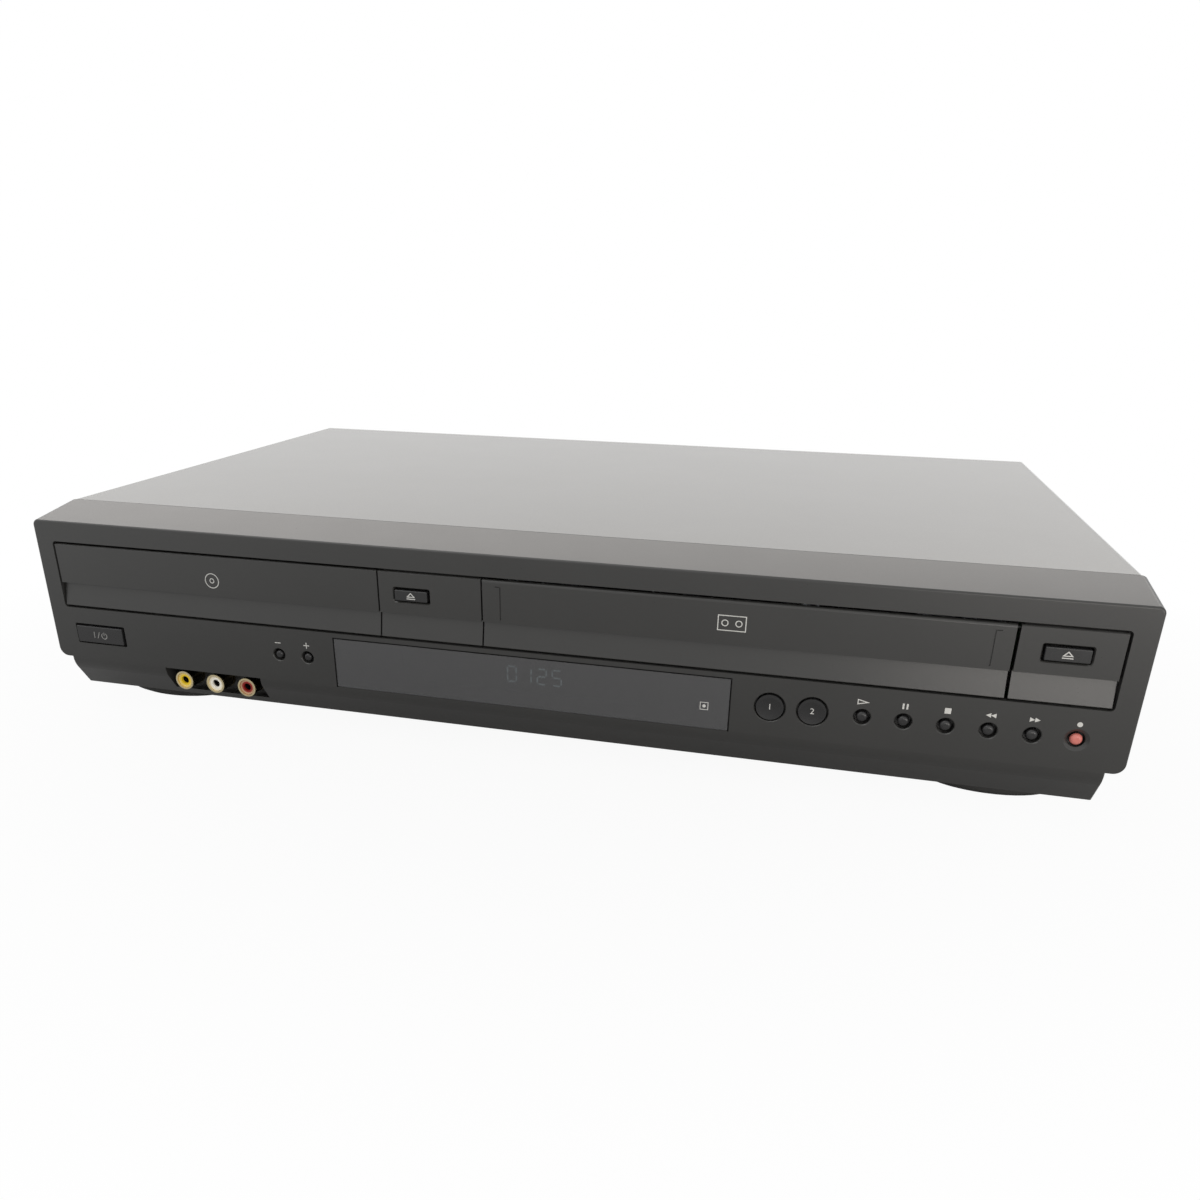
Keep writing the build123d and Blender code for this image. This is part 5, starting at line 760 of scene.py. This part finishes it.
class PLAYER_OT_marks(bpy.types.Operator):
    """Print the signs on the front"""

    bl_idname = "player.marks"
    bl_label = "Printed marks"

    def execute(self, context):
        sizes = context.scene.player_marks
        ink = inked("mark ink", context.scene.player_colours.ink)
        faint = inked("faint ink", shade(context.scene.player_colours.ink, 0.6))
        self.panel_marks(sizes, ink)
        self.tray_mark(sizes, ink)
        self.door_mark(sizes, ink)
        self.eject_marks(sizes, ink)
        self.power_mark(sizes, faint)
        self.select_marks(sizes, ink)
        self.sensor_mark(sizes, ink)
        return {"FINISHED"}

    def panel_marks(self, sizes, ink):
        """Signs of the transport buttons, in shares of their height, and of the tracking buttons."""
        marks = Print(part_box("front_panel")[0].y, sizes.ink)
        tall = sizes.height
        places = {name: middle_of(f"{name}_button") for name in TRANSPORT}
        z = places["play"].z + sizes.rise
        x = places["play"].x
        marks.outline([(x - tall, z - tall / 2), (x + tall, z), (x - tall, z + tall / 2)], sizes.line)
        for side in (-1, 1):
            marks.bar(places["pause"].x + side * 0.32 * tall, z, 0.3 * tall, tall)
        marks.bar(places["stop"].x, z, tall, tall)
        for step in (-0.4, 0.4):
            marks.triangle(places["rewind"].x + step * tall, z, 0.8 * tall, 0.8 * tall, -1.0)
            marks.triangle(places["fast_forward"].x + step * tall, z, 0.8 * tall, 0.8 * tall)
        marks.dot(places["record"].x, z, 0.42 * tall)
        minus, plus = [middle_of(f"{name}_button") for name in TRACKING]
        track_z = minus.z + sizes.track_rise
        for place in (minus, plus):
            marks.bar(place.x, track_z, sizes.sign, sizes.line)
        reach = (sizes.sign - sizes.line) / 4
        for side in (-1, 1):
            marks.bar(plus.x, track_z + side * (reach + sizes.line / 2), sizes.line, 2 * reach)
        marks.finish("panel_marks", ink, "cabinet")

    def tray_mark(self, sizes, ink):
        """A plain disc sign on the tray front."""
        low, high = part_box("tray_front")
        marks = Print(low.y, sizes.ink)
        x = (low.x + high.x) / 2
        z = low.z + sizes.disc_level * (high.z - low.z)
        for radius in (sizes.disc, sizes.hub):
            marks.ring(x, z, radius, sizes.line)
        marks.finish("tray_mark", ink, "tray")

    def door_mark(self, sizes, ink):
        """A plain cassette sign on the tape door."""
        low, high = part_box("cassette_door")
        marks = Print(low.y, sizes.ink)
        x = (low.x + high.x) / 2
        z = low.z + sizes.cassette_level * (high.z - low.z)
        marks.frame(x, z, sizes.cassette, sizes.cassette_tall, sizes.line)
        for side in (-1, 1):
            marks.ring(x + side * sizes.reel_reach, z, sizes.reel, sizes.line)
        marks.finish("door_mark", ink, "door")

    def eject_marks(self, sizes, ink):
        """The eject sign on both eject buttons, in shares of half its width."""
        half = sizes.eject / 2
        for name in EJECT:
            place = middle_of(f"{name}_button")
            marks = Print(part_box(f"{name}_button")[0].y, sizes.ink)
            marks.bar(place.x, place.z - 0.6 * half, 2 * half, sizes.line)
            foot = place.z - 0.25 * half
            tip = place.z + 0.8 * half
            marks.outline([(place.x - half, foot), (place.x + half, foot), (place.x, tip)], sizes.line)
            marks.finish(f"{name}_mark", ink, f"{name}_press")

    def power_mark(self, sizes, ink):
        """The power sign on its button, in shares of its height: a line, a slash and an open ring."""
        place = middle_of("power_button")
        marks = Print(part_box("power_button")[0].y, sizes.ink)
        tall = sizes.power
        line = sizes.fine
        marks.bar(place.x - tall, place.z, line, tall)
        marks.bar(place.x - 0.25 * tall, place.z, line, tall, 0.2 * tall)
        x = place.x + 0.75 * tall
        marks.open_ring(x, place.z - 0.06 * tall, 0.46 * tall, line, 0.5 * tall)
        marks.bar(x, place.z + 0.26 * tall, line, 0.52 * tall)
        marks.finish("power_mark", ink, "power_press")

    def select_marks(self, sizes, ink):
        """A plain number in the dish of each select button."""
        for number, name in zip("12", SELECT):
            place = middle_of(f"{name}_button")
            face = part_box(f"{name}_button")[0].y + DISH_DIP
            marks = Print(face, sizes.ink)
            marks.numeral(number, place.x, place.z, sizes.numeral)
            dish = Vector((place.x, face, place.z - DISH_DROP))
            marks.finish(f"{name}_mark", ink, f"{name}_press", dish=dish)

    def sensor_mark(self, sizes, ink):
        """A small framed dot where the window takes a signal in."""
        low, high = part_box("display_window")
        marks = Print(low.y, sizes.ink)
        x = high.x - sizes.sensor_inset
        z = low.z + sizes.sensor_level * (high.z - low.z)
        marks.frame(x, z, sizes.sensor, sizes.sensor, sizes.fine)
        marks.dot(x, z, sizes.sensor_dot)
        marks.finish("sensor_mark", ink, "cabinet")


class PLAYER_OT_rear(bpy.types.Operator):
    """Print the outlines and numbers on the rear and paint shade in a cross on every screw head, where its
    recess would be
    """

    bl_idname = "player.rear"
    bl_label = "Rear marks and screws"

    def execute(self, context):
        sizes = context.scene.player_marks
        ink = inked("rear ink", (0.04, 0.04, 0.045))
        marks = Print(REAR_FACE, sizes.ink)
        row = (REAR_COLUMNS - 1) * REAR_PITCH
        for i, z in enumerate(REAR_ROWS):
            marks.frame(REAR_SOCKET + row / 2, z, row + sizes.rear_margin, sizes.rear_tall, sizes.fine)
            for column in range(REAR_COLUMNS):
                x = REAR_SOCKET + row - column * REAR_PITCH - sizes.number_reach
                number = REAR_COLUMNS * i + column + 1
                marks.numeral(str(number), x, z, sizes.numeral, behind=True)
        marks.frame(*AERIAL, sizes.rear_margin, sizes.aerial_tall, sizes.fine)
        marks.finish("rear_marks", ink, "cabinet")
        # painted shade: nearly black crosses stand in for the shaded cross recesses of the screws
        self.crosses(sizes, inked("screw recess shade", (0.006, 0.006, 0.006)))
        return {"FINISHED"}

    def crosses(self, sizes, ink):
        """A cross of painted shade in every screw head, where its recess would be, at the rear and on both
        sides.
        """
        low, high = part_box("case_screws")
        marks = Print(high.y, sizes.ink)
        for x in REAR_SCREWS:
            self.cross(marks, x, REAR_SCREW_RISE, sizes)
        marks.finish("rear_screw_crosses", ink, "cabinet")
        for name, face in (("left", low.x), ("right", high.x)):
            marks = Print(face, sizes.ink)
            for y in SIDE_SCREWS:
                self.cross(marks, -y, SIDE_SCREW_RISE, sizes)
            marks.finish(f"{name}_screw_crosses", ink, "cabinet", sideways=True)

    def cross(self, marks, x, z, sizes):
        """A bar, and two short ones that make it a cross."""
        line = sizes.cross / 4
        arm = (sizes.cross - line) / 2
        marks.bar(x, z, sizes.cross, line)
        for side in (-1, 1):
            marks.bar(x, z + side * (line + arm) / 2, line, arm)


class PLAYER_OT_display(bpy.types.Operator):
    """Draw faint segments on the display behind the window"""

    bl_idname = "player.display"
    bl_label = "Display"

    def execute(self, context):
        sizes = context.scene.player_marks
        glow = context.scene.player_colours.glow
        lit = Finish("lit segments", base_color=shade(glow, 0.3), emission_strength=3.0, roughness=0.4)
        lit.set(emission_color=lit.blend(lit.noise(700.0), shade(glow, 0.8), glow))
        low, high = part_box("display_module")
        marks = Print(low.y, sizes.film)
        z = (low.z + high.z) / 2
        x = (low.x + high.x) / 2 - sizes.digit_reach
        for digit in DISPLAY_DIGITS:
            self.digit(marks, digit, x, z, sizes)
            x += sizes.digit_pitch
        marks.finish("display_segments", lit.material, "cabinet", "display_glass")
        self.gasket(sizes)
        return {"FINISHED"}

    def gasket(self, sizes):
        """A dark strip of painted shade along the left, upper and right edges of the window, where its seam
        is shaded.
        """
        low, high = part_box("display_window")
        marks = Print(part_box("front_panel")[0].y, sizes.film)
        wide = sizes.gasket
        left = low.x + WINDOW_LIP
        right = high.x - WINDOW_LIP
        tall = high.z - WINDOW_HEAD_LIP - low.z
        for x in (left, right):
            marks.bar(x, low.z + tall / 2, wide, tall + wide)
        marks.bar((left + right) / 2, low.z + tall, right - left - wide, wide)
        # painted shade: a nearly black rubber strip stands in for the shaded seam round the window
        rubber = soft_rubber("gasket rubber", (0.003, 0.003, 0.003), shine=0.08)
        marks.finish("window_gasket", rubber, "cabinet", "pad_rubber")

    def digit(self, marks, digit, x, z, sizes):
        """One digit of seven segments, with small gaps where they would meet."""
        line = sizes.segment
        gap = 1.4 * line
        half = sizes.digit_tall / 2
        flat = {"a": half, "g": 0.0, "d": -half}
        upright = {"f": (-1, 1), "b": (1, 1), "e": (-1, -1), "c": (1, -1)}
        for name in SEGMENTS[digit]:
            if name in flat:
                marks.bar(x, z + flat[name], sizes.digit - gap, line)
            else:
                side, level = upright[name]
                marks.bar(x + side * sizes.digit / 2, z + level * half / 2, line, half - gap)


class PLAYER_OT_stage(bpy.types.Operator):
    """Make the floor, the light and the camera"""

    bl_idname = "player.stage"
    bl_label = "Stage"

    def execute(self, context):
        stage = context.scene.player_stage
        context.scene.view_settings.view_transform = "Standard"
        self.floor()
        self.dome(context.scene, stage.dome)
        self.lamp("key lamp", WHITE, stage.key_power, place=(-0.9, -0.7, 1.9), size=(1.6, 1.6))
        self.lamp(
            "left lamp",
            WHITE,
            stage.left_power,
            place=(-0.55, -0.5, 0.3),
            size=(0.25, 0.25),
            mirrored=False,
        )
        warm = stage.warmth
        self.lamp(
            "right lamp",
            warm,
            stage.right_power,
            place=(0.42, -0.6, 0.3),
            size=(0.4, 0.4),
            mirrored=False,
        )
        self.lamp("low strip", warm, stage.strip_power, place=(0.42, -0.6, 0.06), size=(0.5, 0.1))
        self.lamp("rim lamp", warm, stage.rim_power, place=(-0.3, 1.3, 1.0), size=(3.2, 0.5))
        self.camera(context.scene, stage)
        return {"FINISHED"}

    def floor(self):
        """A pale floor that keeps a soft shadow on white."""
        mesh = bmesh.new()
        bmesh.ops.create_grid(mesh, x_segments=1, y_segments=1, size=FLOOR_HALF)
        data = bpy.data.meshes.new("floor")
        mesh.to_mesh(data)
        mesh.free()
        finish = Finish("pale floor")
        finish.tree.nodes.remove(finish.shader)
        plain = finish.node("ShaderNodeBsdfDiffuse", {"Color": FLOOR_GREY})
        white = finish.node("ShaderNodeEmission", {"Color": WHITE, "Strength": 1.0})
        x, y = finish.axes()[:2]
        far = x * x + y * y
        camera, mirrored = finish.seen()
        direct = camera * (far * FLOOR_FADE + FLOOR_WHITE).most(1.0)
        finish.end_with(plain, white, direct + mirrored * (far * MIRROR_FADE).most(1.0))
        data.materials.append(finish.material)
        made = bpy.data.objects.new("floor", data)
        bpy.context.scene.collection.objects.link(made)

    def dome(self, scene, strength):
        """Even light, with a white background for what sees it."""
        scene.world = bpy.data.worlds.new("dome")
        scene.world.use_nodes = True
        graph = Graph(scene.world.node_tree)
        plain = graph.node("ShaderNodeBackground", {"Color": WHITE, "Strength": strength})
        white = graph.node("ShaderNodeBackground", {"Color": WHITE, "Strength": 1.0})
        camera, mirrored = graph.seen()
        graph.end_with(plain, white, (camera + mirrored).most(1.0))

    def lamp(self, name, colour, power, place, size, mirrored=True):
        """A soft lamp that faces the player, and may be left out of reflections."""
        data = bpy.data.lights.new(name, "AREA")
        data.shape = "RECTANGLE"
        data.size, data.size_y = size
        data.energy = power
        data.color = colour
        made = bpy.data.objects.new(name, data)
        made.location = place
        aim = middle_of("top_cover") - Vector(place)
        made.rotation_euler = aim.to_track_quat("-Z", "Y").to_euler()
        made.visible_glossy = mirrored
        bpy.context.scene.collection.objects.link(made)

    def camera(self, scene, stage):
        """The camera at the photograph's viewing angle."""
        data = bpy.data.cameras.new("camera")
        data.lens = stage.lens
        data.shift_x = stage.shift_x
        data.shift_y = stage.shift_y
        data.clip_start = NEAREST
        made = bpy.data.objects.new("camera", data)
        turn = Matrix.Rotation(stage.yaw, 4, "Z") @ Matrix.Rotation(stage.pitch, 4, "X")
        turn = turn @ Matrix.Rotation(stage.roll, 4, "Y") @ Matrix.Rotation(math.pi / 2, 4, "X")
        made.matrix_world = Matrix.Translation(stage.place) @ turn
        scene.collection.objects.link(made)
        scene.camera = made


OPERATORS = (
    PLAYER_OT_case,
    PLAYER_OT_controls,
    PLAYER_OT_electronics,
    PLAYER_OT_loader,
    PLAYER_OT_deck,
    PLAYER_OT_marks,
    PLAYER_OT_rear,
    PLAYER_OT_display,
    PLAYER_OT_stage,
)


class PLAYER_PT_sidebar(bpy.types.Panel):
    """Steps of the player's finish"""

    bl_idname = "PLAYER_PT_sidebar"
    bl_label = "Player"
    bl_space_type = "VIEW_3D"
    bl_region_type = "UI"
    bl_category = "Player"

    def draw(self, context):
        for operator in OPERATORS:
            self.layout.operator(operator.bl_idname)
        for group in ("player_colours", "player_marks", "player_stage"):
            settings = getattr(context.scene, group)
            for name in settings.__annotations__:
                self.layout.prop(settings, name)


CLASSES = (PlayerColours, PlayerMarks, PlayerStage, *OPERATORS, PLAYER_PT_sidebar)


def register():
    for cls in CLASSES:
        bpy.utils.register_class(cls)
    bpy.types.Scene.player_colours = PointerProperty(type=PlayerColours)
    bpy.types.Scene.player_marks = PointerProperty(type=PlayerMarks)
    bpy.types.Scene.player_stage = PointerProperty(type=PlayerStage)


def unregister():
    del bpy.types.Scene.player_stage
    del bpy.types.Scene.player_marks
    del bpy.types.Scene.player_colours
    for cls in reversed(CLASSES):
        bpy.utils.unregister_class(cls)


def main():
    """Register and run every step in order."""
    register()
    for operator in OPERATORS:
        group, name = operator.bl_idname.split(".")
        getattr(getattr(bpy.ops, group), name)()


if __name__ == "__main__":
    main()
